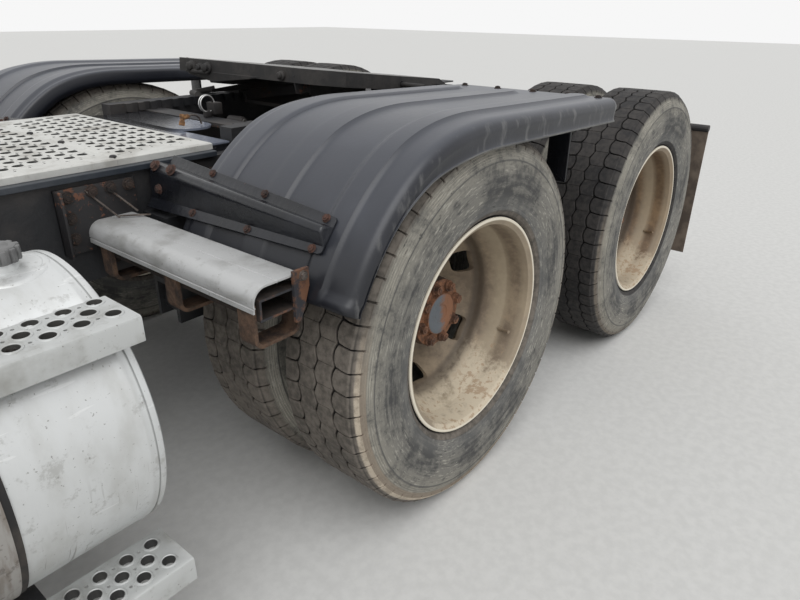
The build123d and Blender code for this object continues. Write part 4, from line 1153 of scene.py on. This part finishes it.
arm_rows = []
for edge in (1, -1):
    near = arm_seat + arm_up * (edge * 0.0585 - 0.009) + Vector((0, -0.650, 0))
    far = arm_seat + arm_up * (edge * 0.0375 - 0.021) + Vector((0, -1.090, 0))
    arm_rows.append((near, (far - near) / 2, 3, arm_out, 0.0078))
crown_bolt = arm_seat + arm_out * (arm_height - 0.0053) + arm_up * 0.0150 + Vector((0, -0.474, 0))
face_bolt = arm_seat + arm_out * 0.0178 - arm_up * 0.0370 + Vector((0, -0.494, 0))
arm_rows.append((crown_bolt, (0, -0.076, 0), 2, arm_out, 0.0115))
arm_rows.append((face_bolt, (0, 0, 0), 1, arm_out * 0.80 - arm_up * 0.60, 0.0100))
bolt_rows("arm_bolts", arm_rows)
rear_bolt_y = (0.650, 0.795, 0.940, 1.075, 1.185)
rear_rows = [((0.820, -y, 1.1292), (0, 0, 0), 1, (0, 0, 1), 0.0095) for y in rear_bolt_y]
bolt_rows("fender_rear_bolts", rear_rows, finish=bolt_dark)
rail_rows = [
    ((-2.05, -0.4322, 0.940), (0.21, 0, 0), 6, (0, -1, 0), 0.010),
    ((-2.00, -0.4322, 0.760), (0.21, 0, 0), 20, (0, -1, 0), 0.010),
    ((-0.20, -0.4322, 0.940), (0.21, 0, 0), 11, (0, -1, 0), 0.010),
    ((-0.635, -0.4412, 0.950), (0, 0, -0.055), 3, (0, -1, 0), 0.012),
    ((-0.570, -0.4412, 0.955), (0.050, 0, 0), 3, (0, -1, 0), 0.012),
]
bolt_rows("rack_end_bolts", [((-0.469, -1.1205, 0.873), (0, 0, 0), 1, (0, -1, 0), 0.0085)],
          finish=rod_steel)
bolt_rows("rail_bolts", rail_rows, finish=bolt_dark)

# %% [markdown]
# # Bracket plate and stay rods
# Behind the chain rack a folded plate is bolted to the rail. Two thin rods run down from it to the
# rack's cover, and a third lies on the cover. Each is aimed from one end to the other.

# %% Bracket plate and rods
def rod(whole, start, end, radius, steps, finish, place=Matrix(), over=0):
    """Joins a round bar from one point to another."""
    way = Vector(end) - Vector(start)
    profile = [(0, -over), (radius, -over), (radius, way.length + over), (0, way.length + over)]
    join(whole, spun(profile, steps), place @ pointed(start, way), finish)


# The plate and its fold on the left side: X, Y and Z
bracket_bars = [
    ((-0.665, -0.452), (-0.4410, -0.4325), (0.800, 0.972)),
    ((-0.665, -0.657), (-0.476, -0.4325), (0.800, 0.972)),
]
rod_radius = 0.0025
rod_ends = [
    ((-0.587, -0.440, 0.960), (-0.523, -0.470, 0.879)),
    ((-0.527, -0.440, 0.955), (-0.470, -0.470, 0.886)),
    ((-0.523, -0.470, 0.884), (-0.462, -0.520, 0.884)),
]
both_brackets = bmesh.new()
for side_name, sign, turn in sides:
    for x, y, z in bracket_bars:
        join(both_brackets, bar(x, y, z, 0.002), mirrored(-sign), 0)
    for start, end in rod_ends:
        rod(both_brackets, start, end, rod_radius, 10, 1, mirrored(-sign))
piece("rack_bracket_plates", both_brackets, "chassis", [bracket_black, rod_steel])

# %% [markdown]
# # Fuel tanks
# The tanks are welded aluminium drums. The shell has a bead of weld near each end where the
# pressed heads are let in, and the heads bulge a little. Both tanks are one piece, spun about
# the length of the truck.

# %% Tanks
tank_centre = (0.787, 0.630)
tank_radius = 0.311
tank_ends = (-2.070, -0.820)
tank_half = (tank_ends[1] - tank_ends[0]) / 2
# Section of the pressed head and the bead of weld: radius, and distance from the tank's end
head_section = [
    (0, 0.018), (0.10, 0.015), (0.20, 0.012), (0.262, 0.012), (0.284, 0.008), (0.298, 0.001), (0.3045, 0),
    (0.3095, 0.0035), (0.311, 0.010), (0.311, 0.0158), (0.3085, 0.0170), (0.3085, 0.0185),
    (0.311, 0.0197), (0.311, 0.028), (0.3124, 0.031), (0.3124, 0.036), (0.311, 0.039),
]
half_section = [(radius, tank_half - inset) for radius, inset in head_section]
tank_section = half_section + [(radius, -height) for radius, height in reversed(half_section)]
both_tanks = bmesh.new()
for side_name, sign, turn in sides:
    middle = (tank_middle_x, sign * tank_centre[0], tank_centre[1])
    place = Matrix.Translation(middle) @ Matrix.Rotation(math.radians(90), 4, "Y")
    join(both_tanks, spun(tank_section, 128), place)
piece("welded_tanks", both_tanks, "chassis", [tank_metal], ["fuel_tanks"])

# %% [markdown]
# # Tank straps
# Two steel straps hold each tank, on a wider band of rubber. Each is the sector of a ring, drawn
# in the plane across the truck and pushed along by its width.

# %% Tank straps
strap_first = -56
strap_last = 146
strap_middles = [-1.818, -1.123]
# Bands of a strap: inner and outer radius, half of the width and finish
bands = [(0.3112, 0.3138, 0.035, 1), (0.3138, 0.3160, 0.0225, 0)]


def strap_arc(radius):
    """Points of the right tank's strap, in Y and Z."""
    turns = [math.radians(strap_first + (strap_last - strap_first) * index / 72) for index in range(73)]
    return [(tank_centre[0] + radius * math.cos(turn),
             tank_centre[1] + radius * math.sin(turn)) for turn in turns]


both_straps = bmesh.new()
for side_name, sign, turn in sides:
    for middle in strap_middles:
        for inner, outer, half, finish in bands:
            outline = strap_arc(outer) + strap_arc(inner)[::-1]
            band = pushed([(middle - half, y, z) for y, z in outline], (2 * half, 0, 0))
            join(both_straps, band, mirrored(sign), finish)
piece("rubber_lined_straps", both_straps, "chassis", [strap_steel, bag_rubber],
      ["tank_straps"])

# %% [markdown]
# # Steps
# The step trays are folded aluminium with raised round holes in three staggered rows, so that a
# boot grips them. The tray is a folded outline pushed along the tank. The holes are cut with one
# Boolean, and a small collar is set round each.

# %% Steps
# Dark finishes that paint the shade inside the holes and beneath them
hole_shade = grimy_paint("hole_shade", (58, 58, 58), (76, 75, 72), (60, 54, 50))
hole_backing_shade = grimy_paint("hole_backing_shade", (104, 101, 96), (84, 80, 76), (70, 62, 56))
step_front = -1.676
step_length = 0.860
step_wall = 0.003
step_bend = 0.006
# Steps: height of the tread, inner and outer edge, middle row of holes, margin behind them, skirt
step_rows = [(0.899, 0.957, 1.085, 1.007, 0.028, 0.050), (0.348, 0.994, 1.124, 1.057, 0.038, 0.058)]
hole_pitch = 0.056
hole_row_space = 0.034
hole_radius = 0.0148
small_hole_radius = 0.0036
# Collar that is pressed up round a hole, and the dark sleeve of painted shade inside it: out from the hole's
# edge, up
collar = [(-0.0010, -0.004), (0.0048, -0.0008), (0.0034, 0.0016), (0.0010, 0.0024), (-0.0010, 0.0012)]
collar_height = 0.0025
sleeve = [(-0.0016, 0.0006), (-0.0004, 0.0010), (-0.0001, -0.020), (-0.0016, -0.020)]


def drill(mesh, radius, steps, place):
    """A round cutter through a tread."""
    bmesh.ops.create_cone(
        mesh, cap_ends=True, segments=steps, radius1=radius, radius2=radius, depth=0.02, matrix=place,
    )


def disc(radius, top, thick, steps):
    """A thin disc that closes a hole from below, painted as the shade seen through the hole."""
    return spun([(0, top), (radius, top), (radius, top - thick), (0, top - thick)], steps)


def step_tray(tread, inner, outer, middle, margin, skirt):
    """A folded tray with its holes and collars, on the right side."""
    rear = step_front + step_length
    under = tread - step_wall
    inside = outer - step_wall
    outline = [(outer, tread - skirt), (outer, tread - step_bend), (outer - 0.0018, tread - 0.0018),
               (outer - step_bend, tread), (inner, tread), (inner, under), (outer - step_bend, under),
               (inside - 0.0008, under - 0.0008), (inside, tread - step_bend), (inside, tread - skirt)]
    cheek = [(inner, tread - skirt), (inside, tread - skirt), (inside, under), (inner, under)]
    tray = pushed([(step_front, y, z) for y, z in outline], (step_length, 0, 0))
    for end in (step_front, rear - step_wall):
        join(tray, pushed([(end, y, z) for y, z in cheek], (step_wall, 0, 0)))
    cutter = bmesh.new()
    collars = bmesh.new()
    # Only the upper step is seen from above, so that the light must not come through its holes; discs of
    # painted shade close them from below.
    is_upper = tread > 0.5
    for row in (-1, 0, 1):
        shift = 0 if row else hole_pitch / 2
        count = 15 if row else 14
        for index in range(count):
            x = rear - margin - shift - index * hole_pitch
            spot = Matrix.Translation((x, middle + row * hole_row_space, tread))
            drill(cutter, hole_radius, 20, spot)
            join(collars, spun([(hole_radius + out, up) for out, up in collar], 20), spot)
            join(collars, spun([(hole_radius + out, up) for out, up in sleeve], 20), spot, 1)
            if is_upper:
                join(collars, disc(hole_radius - 0.0004, -0.016, 0.002, 20), spot, 2)
            if index < count - 1:
                small = spot @ Matrix.Translation((-hole_pitch / 2, 0, 0))
                drill(cutter, small_hole_radius, 8, small)
                if is_upper:
                    join(collars, disc(0.005, -0.004, 0.002, 8), small, 1)
    tray = cut(tray, cutter)
    join(tray, collars)
    return tray


all_steps = bmesh.new()
for tread, inner, outer, middle, margin, skirt in step_rows:
    for side_name, sign, turn in sides:
        tray = step_tray(tread - collar_height, inner, outer, middle, margin, skirt)
        join(all_steps, tray, mirrored(sign))
# Gussets between the upper tray and the tank's straps
gusset = [(1.078, 0.892), (1.078, 0.806), (1.070, 0.802), (1.036, 0.838), (0.968, 0.8902)]
for x in (-1.664, -1.128):
    for side_name, sign, turn in sides:
        plate = pushed([(x, y, z) for y, z in gusset], (0.010, 0, 0))
        join(all_steps, soften(plate, 0.0015, 1), mirrored(sign))
piece("perforated_steps", all_steps, "chassis", [step_metal, hole_shade, hole_backing_shade],
      ["tank_steps"], smooth=30)

# %% [markdown]
# # Filler caps
# Each tank has a filler neck with a cap that a gloved hand can turn, so the cap has twelve lugs
# round its edge and a shallow dish on top. Its neck stands on a ring that is welded to the tank.

# %% Filler caps
cap_place = (-0.925, 0.787)
cap_top = 0.983
lug_count = 12
neck = [(0, -0.050), (0.036, -0.050), (0.036, -0.036), (0.035, -0.033), (0.034, -0.028), (0.034, -0.020),
        (0, -0.020)]
dished_top = [(0, -0.029), (0.0375, -0.029), (0.0375, -0.004), (0.0360, -0.0012), (0.033, 0), (0.026, 0),
              (0.023, -0.003), (0, -0.004)]
lug = [(0.035, -0.0065, -0.028), (0.0432, -0.0052, -0.028), (0.0432, 0.0052, -0.028),
       (0.035, 0.0065, -0.028)]
seat_section = [(0.040, -0.004), (0.068, -0.004), (0.074, 0.0024), (0.080, 0.0032), (0.085, 0.0012),
                (0.088, -0.004)]
both_caps = bmesh.new()
for side_name, sign, turn in sides:
    place = Matrix.Translation((cap_place[0], sign * cap_place[1], cap_top))
    join(both_caps, spun(neck, 48), place, 1)
    join(both_caps, spun(dished_top, 48), place, 0)
    for index in range(lug_count):
        spin = Matrix.Rotation(index * math.tau / lug_count, 4, "Z")
        join(both_caps, soften(pushed(lug, (0, 0, 0.0262)), 0.0016, 2), place @ spin)
    # A raised seat is pressed into the tank round the neck, and follows the drum's curve
    seat = spun(seat_section, 64, False)
    for vert in seat.verts:
        across = cap_place[1] + sign * vert.co.y - tank_centre[0]
        vert.co.z += tank_centre[1] + math.sqrt(tank_radius ** 2 - across ** 2) - cap_top
    join(both_caps, seat, place, 1)
piece("lugged_filler_caps", both_caps, "chassis", [cap_metal, tank_metal], ["filler_caps"])

# %% [markdown]
# # Deck plates
# Behind the cab lies a walkway of four pressed aluminium plates. Their holes are pressed upwards,
# so each has a soft rim, and they stand in diagonal rows. One hole with its square of plate is
# made by bridging a circle to a square, and its copies are merged into the plate.

# %% Deck
deck_top = 1.025
deck_sheet = deck_top - 0.003
deck_rear = -0.180
panel_pitch = 0.300
panel_length = 0.297
deck_half = 0.420
cell = (0.0425, 0.055)
row_count = 6
cells_in_row = 13
row_shift = 0.018
deck_hole = 0.0135
panel_count = 4
# Rings of a hole: its rim, the foot of the rim, the edge of its square, its sleeve's end
hole_rings = [(deck_hole, 0.0026), (deck_hole + 0.0035, 0), (1.0, 0), (deck_hole - 0.0006, -0.012)]
screw_head = [(0, 0.0002), (0.0095, 0.0002), (0.0090, 0.0040), (0.0060, 0.0058), (0, 0.0062)]


def deck_cell():
    """A rectangle of plate with a raised round hole, with its middle at the origin."""
    mesh = bmesh.new()
    rings = []
    for radius, height in hole_rings:
        verts = bmesh.ops.create_circle(mesh, cap_ends=False, segments=16, radius=radius)["verts"]
        bmesh.ops.translate(mesh, verts=verts, vec=(0, 0, height))
        rings.append(verts)
    for vert in rings[2]:
        reach = min(cell[0] / 2 / max(abs(vert.co.x), 1e-6), cell[1] / 2 / max(abs(vert.co.y), 1e-6))
        vert.co *= reach
    loops = []
    for verts in rings:
        ring = set(verts)
        loops.append([edge for edge in mesh.edges if set(edge.verts) <= ring])
    bmesh.ops.bridge_loops(mesh, edges=loops[0] + loops[1])
    bmesh.ops.bridge_loops(mesh, edges=loops[1] + loops[2])
    sleeve = bmesh.ops.bridge_loops(mesh, edges=loops[0] + loops[3])["faces"]
    mesh.normal_update()
    for face in mesh.faces:
        # The sleeve takes the dark finish of painted shade inside the hole
        if face in sleeve:
            face.material_index = 1
            if face.normal.dot(face.calc_center_median() * Vector((1, 1, 0))) > 0:
                face.normal_flip()
        elif face.normal.z < 0:
            face.normal_flip()
    return mesh


def plain_strip(x, y):
    """A flat rectangle of plate between two X and two Y."""
    mesh = bmesh.new()
    corners = ((x[0], y[0]), (x[1], y[0]), (x[1], y[1]), (x[0], y[1]))
    mesh.faces.new([mesh.verts.new((*corner, deck_sheet)) for corner in corners])
    return mesh


def deck_panel(low):
    """One plate of the deck, from its front edge rearwards."""
    panel = bmesh.new()
    inset = 0.004
    rear = low + panel_length
    first = low + (panel_length - row_count * cell[0]) / 2
    for row in range(row_count):
        x = first + row * cell[0]
        shift = (row * row_shift) % cell[1] - cell[1] / 2
        start = -cells_in_row * cell[1] / 2 + shift
        for column in range(cells_in_row):
            spot = (x + cell[0] / 2, start + (column + 0.5) * cell[1], deck_sheet)
            join(panel, one_cell, Matrix.Translation(spot), keep=True)
        end = start + cells_in_row * cell[1]
        join(panel, plain_strip((x, x + cell[0]), (-deck_half + inset, start)))
        join(panel, plain_strip((x, x + cell[0]), (end, deck_half - inset)))
    last = first + row_count * cell[0]
    join(panel, plain_strip((low + inset, first), (-deck_half + inset, deck_half - inset)))
    join(panel, plain_strip((last, rear - inset), (-deck_half + inset, deck_half - inset)))
    # The edge is folded down all round
    fold = bmesh.new()
    for back, drop in ((inset, 0.0), (0.0012, 0.0012), (-0.0012, 0.004), (-0.0012, 0.020)):
        side = deck_half - back
        corners = ((low + back, -side), (rear - back, -side), (rear - back, side), (low + back, side))
        ring = [fold.verts.new((x, y, deck_sheet - drop)) for x, y in corners]
        for index in range(4):
            fold.edges.new((ring[index], ring[(index + 1) % 4]))
    bmesh.ops.bridge_loops(fold, edges=fold.edges)
    fold.normal_update()
    middle = Vector((low + panel_length / 2, 0, deck_sheet - 0.1))
    for face in fold.faces:
        if face.normal.dot(face.calc_center_median() - middle) < 0:
            face.normal_flip()
    join(panel, fold)
    return panel


one_cell = deck_cell()
deck = bmesh.new()
for index in range(panel_count):
    low = deck_rear - index * panel_pitch - panel_length
    join(deck, deck_panel(low))
    for y in (-0.402, -0.105, 0.105, 0.402):
        join(deck, spun(screw_head, 16), Matrix.Translation((low - 0.0015, y, deck_sheet)), 2)
one_cell.free()
piece("perforated_deck", deck, "chassis", [deck_metal, hole_shade, frame_black],
      ["deck_plates"], smooth=40, closed=False)

# %% [markdown]
# # Deck channels
# A channel of folded sheet lies on each rail and carries the deck's edge.

# %% Deck channels
channel_outer = 0.446
channel_low = 0.9855
channel_high = 1.0012
channel_sheet = 0.004
channel_reach = 0.070
inner_low = channel_low + channel_sheet
inner_high = channel_high - channel_sheet
# The channel's section: inwards from its outer face, and height
channel_section = [(0, channel_low), (channel_reach, channel_low), (channel_reach, inner_low),
                   (channel_sheet, inner_low), (channel_sheet, inner_high), (channel_reach, inner_high),
                   (channel_reach, channel_high), (0, channel_high)]
channel_length = panel_count * panel_pitch - 0.007
channels = bmesh.new()
for side_name, sign, turn in sides:
    outline = [(deck_rear - 0.002, sign * (channel_outer - inward), z) for inward, z in channel_section]
    join(channels, soften(pushed(outline, (-channel_length, 0, 0)), 0.0015, 1, 60))
piece("folded_deck_channels", channels, "chassis", [channel_paint], ["deck_channels"])

# %% [markdown]
# # Rack covers
# The chain rack beside each fender has a folded aluminium cover. Its front is rounded, a lip is
# pressed in above its lower edge, and a shallow line runs along its top. The outline is pushed
# along the rack.

# %% Rack covers
cover_front = -0.598
cover_rear = -0.460
cover_top = 0.878
cover_bottom = 0.823
cover_wall = 0.004
cover_inner = 0.430
cover_outer = 1.110


def round_corner(centre, radius, first, last, count=7):
    """Points of an arc in X and Z, between two angles."""
    points = []
    for index in range(count):
        angle = math.radians(first + (last - first) * index / (count - 1))
        points.append((centre[0] + radius * math.cos(angle), centre[1] + radius * math.sin(angle)))
    return points


def cover_outline(inward, front_radius=0.036, rear_radius=0.014):
    """The cover's outside, or its inside when it is moved inwards."""
    rear_centre = (cover_rear - rear_radius, cover_top - rear_radius)
    front_centre = (cover_front + front_radius, cover_top - front_radius)
    points = [(cover_rear - inward, cover_bottom)]
    points += round_corner(rear_centre, rear_radius - inward, 0, 90, 5)
    line = cover_rear - 0.070
    points += [(line, cover_top - inward), (line - 0.0015, cover_top - 0.0016 - inward),
               (line - 0.003, cover_top - inward)]
    points += round_corner(front_centre, front_radius - inward, 90, 180, 9)
    points += [(cover_front + inward, cover_bottom + 0.0150),
               (cover_front + 0.002 + inward, cover_bottom + 0.0135),
               (cover_front + 0.002 + inward, cover_bottom + 0.0115),
               (cover_front + inward, cover_bottom + 0.0100),
               (cover_front + inward, cover_bottom)]
    return points


both_covers = bmesh.new()
outside = cover_outline(0)
inside = cover_outline(cover_wall)
for side_name, sign, turn in sides:
    outline = [(x, sign * cover_inner, z) for x, z in outside + inside[::-1]]
    join(both_covers, pushed(outline, (0, sign * (cover_outer - cover_inner), 0)))
piece("folded_rack_covers", both_covers, "chassis", [cover_metal], ["chain_rack_covers"],
      smooth=30)

# %% [markdown]
# # Rack hooks
# Under each cover hang three strips of flat steel, bent to a U with rounded corners, on which the
# chains are laid. They have rusted brown.

# %% Rack hooks
hook_ends = (-0.5925, -0.4655)
hook_top = 0.836
hook_bottom = 0.7315
hook_bend = 0.024
hook_wall = 0.009
hook_half = 0.026


def hook_side(inward):
    """One side of the bent strip in X and Z, from the top of its front leg to the top of its rear leg."""
    bend = hook_bend - inward
    low = hook_bottom + hook_bend
    points = [(hook_ends[0] + inward, hook_top)]
    points += round_corner((hook_ends[0] + hook_bend, low), bend, 180, 270)
    points += round_corner((hook_ends[1] - hook_bend, low), bend, 270, 360)
    return points + [(hook_ends[1] - inward, hook_top)]


all_hooks = bmesh.new()
for side_name, sign, turn in sides:
    for middle in (0.505, 0.800, 1.074):
        outline = [(x, sign * middle - hook_half, z) for x, z in hook_side(0) + hook_side(hook_wall)[::-1]]
        join(all_hooks, pushed(outline, (0, 2 * hook_half, 0)))
piece("bent_rack_hooks", all_hooks, "chassis", [hook_rust], ["chain_rack_hooks"], smooth=30)

# %% [markdown]
# # Small parts round the fifth wheel
# Grease bolts stand out of the front edge of the top plate, and a slotted bracket and two skirts
# hang below it. Webs and a bent strut stand on the slider. Beside the air valve's ring a brass
# elbow feeds a pipe, and the valve's canister lies behind it.

# %% Small parts round the fifth wheel
def side_plate(outline, y, thick, edge=0.002, segments=1):
    """A plate with soft edges, whose outline is given in X and Z."""
    return soften(pushed([(x, y, z) for x, z in outline], (0, thick, 0)), edge, segments)


plate_parts = bmesh.new()
# Grease bolts on the front edge: Y, reach and radius
grease_bolts = [(0.300, 0.020, 0.017), (0.245, 0.014, 0.012), (0.196, 0.020, 0.016), (-0.240, 0.014, 0.012)]
for y, out, radius in grease_bolts:
    boss = [(0, -0.010), (radius * 1.4, -0.010), (radius * 1.4, 0.004), (radius, 0.008), (radius, out),
            (radius * 0.7, out + 0.004), (0, out + 0.005)]
    join(plate_parts, spun(boss, 20), pointed((0.262, y, 1.171), (-1, 0, 0.1)), 0)
ledge = [(0.259, 0.330, 1.156), (0.259, 0.180, 1.156), (0.244, 0.186, 1.150), (0.244, 0.324, 1.150)]
join(plate_parts, soften(pushed(ledge, (0, 0, 0.010)), 0.002), finish=0)
hanger = [(0.262, 1.176), (0.345, 1.168), (0.345, 1.146), (0.330, 1.120), (0.296, 1.110), (0.276, 1.114),
          (0.270, 1.134)]
join(plate_parts, side_plate(hanger, -0.304, 0.008, segments=2), finish=1)
slot = [(0.295, 1.124), (0.305, 1.124), (0.305, 1.150), (0.295, 1.150)]
join(plate_parts, side_plate(slot, -0.3052, 0.002, 0.0005), finish=0)
lip = [(0.340, 1.158), (0.335, 1.142), (0.170, 1.120), (0.050, 1.134), (-0.060, 1.146), (-0.120, 1.158)]
join(plate_parts, soften(pushed([(0.2615, y, z) for y, z in lip], (0.012, 0, 0)), 0.002, 1), finish=0)
skirt = [(0.338, 1.146), (0.338, 1.104), (0.450, 1.088), (0.560, 1.088), (0.640, 1.092), (0.640, 1.114)]
for sign in (1, -1):
    join(plate_parts, side_plate(skirt, sign * 0.296, sign * 0.006), finish=0)
piece("plate_small_parts", plate_parts, "fifth_wheel", [plate_steel, bracket_black])

slider_parts = bmesh.new()
web = [(0.345, 1.0625), (0.985, 1.0625), (0.980, 1.0710), (0.860, 1.084), (0.760, 1.093), (0.640, 1.094),
       (0.500, 1.086), (0.345, 1.075)]
for sign in (1, -1):
    join(slider_parts, side_plate(web, sign * 0.309, sign * 0.007), finish=0)
strut = [(0.425, 0.395, 1.066), (0.345, 0.450, 1.050), (0.300, 0.340, 1.056)]
for start, end in zip(strut, strut[1:]):
    rod(slider_parts, start, end, 0.013, 16, 1)
piece("slider_webs", slider_parts, "fifth_wheel_slider", [grease_black, leg_grey])

# Turned parts of the valve: section, sides, place, direction and finish
elbow_body = [(0, 0), (0.011, 0), (0.011, 0.012), (0.0085, 0.014), (0.0085, 0.026), (0.011, 0.027),
              (0.011, 0.036), (0, 0.038)]
elbow_joint = [(0, 0), (0.008, 0), (0.008, 0.030), (0, 0.031)]
hoop = [(0.0270, -0.0016), (0.0280, -0.0022), (0.0300, -0.0022), (0.0310, -0.0010), (0.0310, 0.0010),
        (0.0300, 0.0022), (0.0280, 0.0022), (0.0270, 0.0016)]
hoop_hub = [(0.0250, -0.0050), (0.0275, -0.0050), (0.0275, 0.0050), (0.0250, 0.0050)]
canister = [(0, 0), (0.0190, 0), (0.0215, 0.003), (0.0215, 0.066), (0.0180, 0.070), (0.0180, 0.076),
            (0.0150, 0.078), (0, 0.078)]
canister_end = [(0, 0), (0.0135, 0), (0.0120, 0.003), (0, 0.003)]
turned_parts = [
    (elbow_body, 6, (-0.084, -0.120, 1.026), (0.3, 0.1, 1), 0),
    (elbow_joint, 6, (-0.082, -0.120, 1.050), (1, 0.15, 0.1), 0),
    (hoop, 48, (0.104, -0.0058, 1.069), (0, 1, 0), 3),
    (hoop, 48, (0.104, 0.0058, 1.069), (0, 1, 0), 3),
    (hoop_hub, 48, (0.104, 0, 1.069), (0, 1, 0), 2),
    (canister, 32, (0.262, 0.088, 0.981), (0.18, -1, 0), 2),
    (canister_end, 32, (0.2758, 0.0112, 0.981), (0.18, -1, 0), 4),
]
valve_parts = bmesh.new()
for section, steps, place, direction, finish in turned_parts:
    join(valve_parts, spun(section, steps), pointed(place, direction), finish)
pipe = [(-0.054, -0.116, 1.052), (-0.036, -0.113, 1.055), (-0.018, -0.110, 1.051), (-0.004, -0.107, 1.040),
        (0.002, -0.106, 1.022)]
for start, end in zip(pipe, pipe[1:]):
    rod(valve_parts, start, end, 0.0032, 10, 1, over=0.001)
# Blocks round the ring: X, Y and Z
ring_blocks = [
    ((0.116, 0.152), (-0.028, 0.020), (1.030, 1.072)),
    ((0.090, 0.118), (-0.009, 0.009), (1.0202, 1.043)),
]
for x, y, z in ring_blocks:
    join(valve_parts, bar(x, y, z, 0.003), finish=2)
valve_finishes = [brass, rod_steel, grease_black, silver, leg_grey]
piece("valve_and_pipe", valve_parts, "chassis", valve_finishes, ["slide_release"])

# %% [markdown]
# # Finishes for what stays
# The rest of the solids have the right form already. Each gets the finish of its real part, by
# name from a short table.

# %% Finishes on the nodes
node_finishes = [
    (frame_black, ["frame_rail_left", "frame_rail_right", "crossmembers", "suspension_hangers",
                   "spring_beams", "fifth_wheel_rails", "tank_brackets", "mud_flap_hangers",
                   "centre_bearing"]),
    (under_black, ["drive_axle_front", "drive_axle_rear", "brake_chambers", "shock_absorbers",
                   "air_tanks"]),
    (grease_black, ["drive_shafts", "fifth_wheel_slider"]),
    (beam_rust, ["chain_rack_beams"]),
    (tail_paint, ["deck_tail_plate"]),
    (lamp_red, ["tail_lamps"]),
    (plate_steel, ["fifth_wheel_plate", "kingpin_lock"]),
    (bag_rubber, ["air_springs"]),
    (flap_rubber, ["mud_flaps"]),
]
for finish, names in node_finishes:
    for name in names:
        solid = nodes[name]
        solid.data.materials.clear()
        solid.data.materials.append(finish)
print("nodes finished", sum(len(names) for finish, names in node_finishes))

# %% [markdown]
# # Floor and light
# The studio is a pale floor under an even, soft sky, with one broad lamp high behind the camera,
# so that the tyres throw the soft shadow of a cloudy day. The sky's own colour is plain white.

# %% Floor and lamps
floor_mesh = bmesh.new()
bmesh.ops.create_grid(floor_mesh, x_segments=1, y_segments=1, size=40)
floor_data = bpy.data.meshes.new("floor")
floor_mesh.to_mesh(floor_data)
floor_mesh.free()
floor = placed("floor", floor_data)
floor_finish = Finish("floor")
floor_colour = floor_finish.noise(30, 4).step(0.3, 0.7).over((206, 206, 204), (214, 214, 212))
floor_data.materials.append(floor_finish.fill(floor_colour, 0.9))

world = bpy.data.worlds.new("sky")
world.use_nodes = True
bpy.context.scene.world = world
sky = world.node_tree.nodes["Background"]
# The sky looks brighter to the camera and in mirrors than it shines
sky_level = 0.6
sky_shown = 0.93
seen = Sock(world.node_tree, None).node("ShaderNodeLightPath")
rays = {name: Sock(world.node_tree, seen.socket.node.outputs[name])
        for name in ("Is Camera Ray", "Is Glossy Ray", "Is Transmission Ray")}
shown = (rays["Is Camera Ray"] + rays["Is Glossy Ray"] + rays["Is Transmission Ray"]).clamp()
strength = shown * (sky_shown - sky_level) + sky_level
world.node_tree.links.new(strength.socket, sky.inputs["Strength"])
sky.inputs["Color"].default_value = (1, 1, 1, 1)

sun_data = bpy.data.lights.new("soft_lamp", "SUN")
sun_data.energy = 1.55
sun_data.angle = math.radians(50)
sun = placed("soft_lamp", sun_data)
sun.rotation_euler = (math.radians(24), math.radians(-22), 0)
bpy.context.scene.view_settings.view_transform = "Standard"
print("lamps ready")
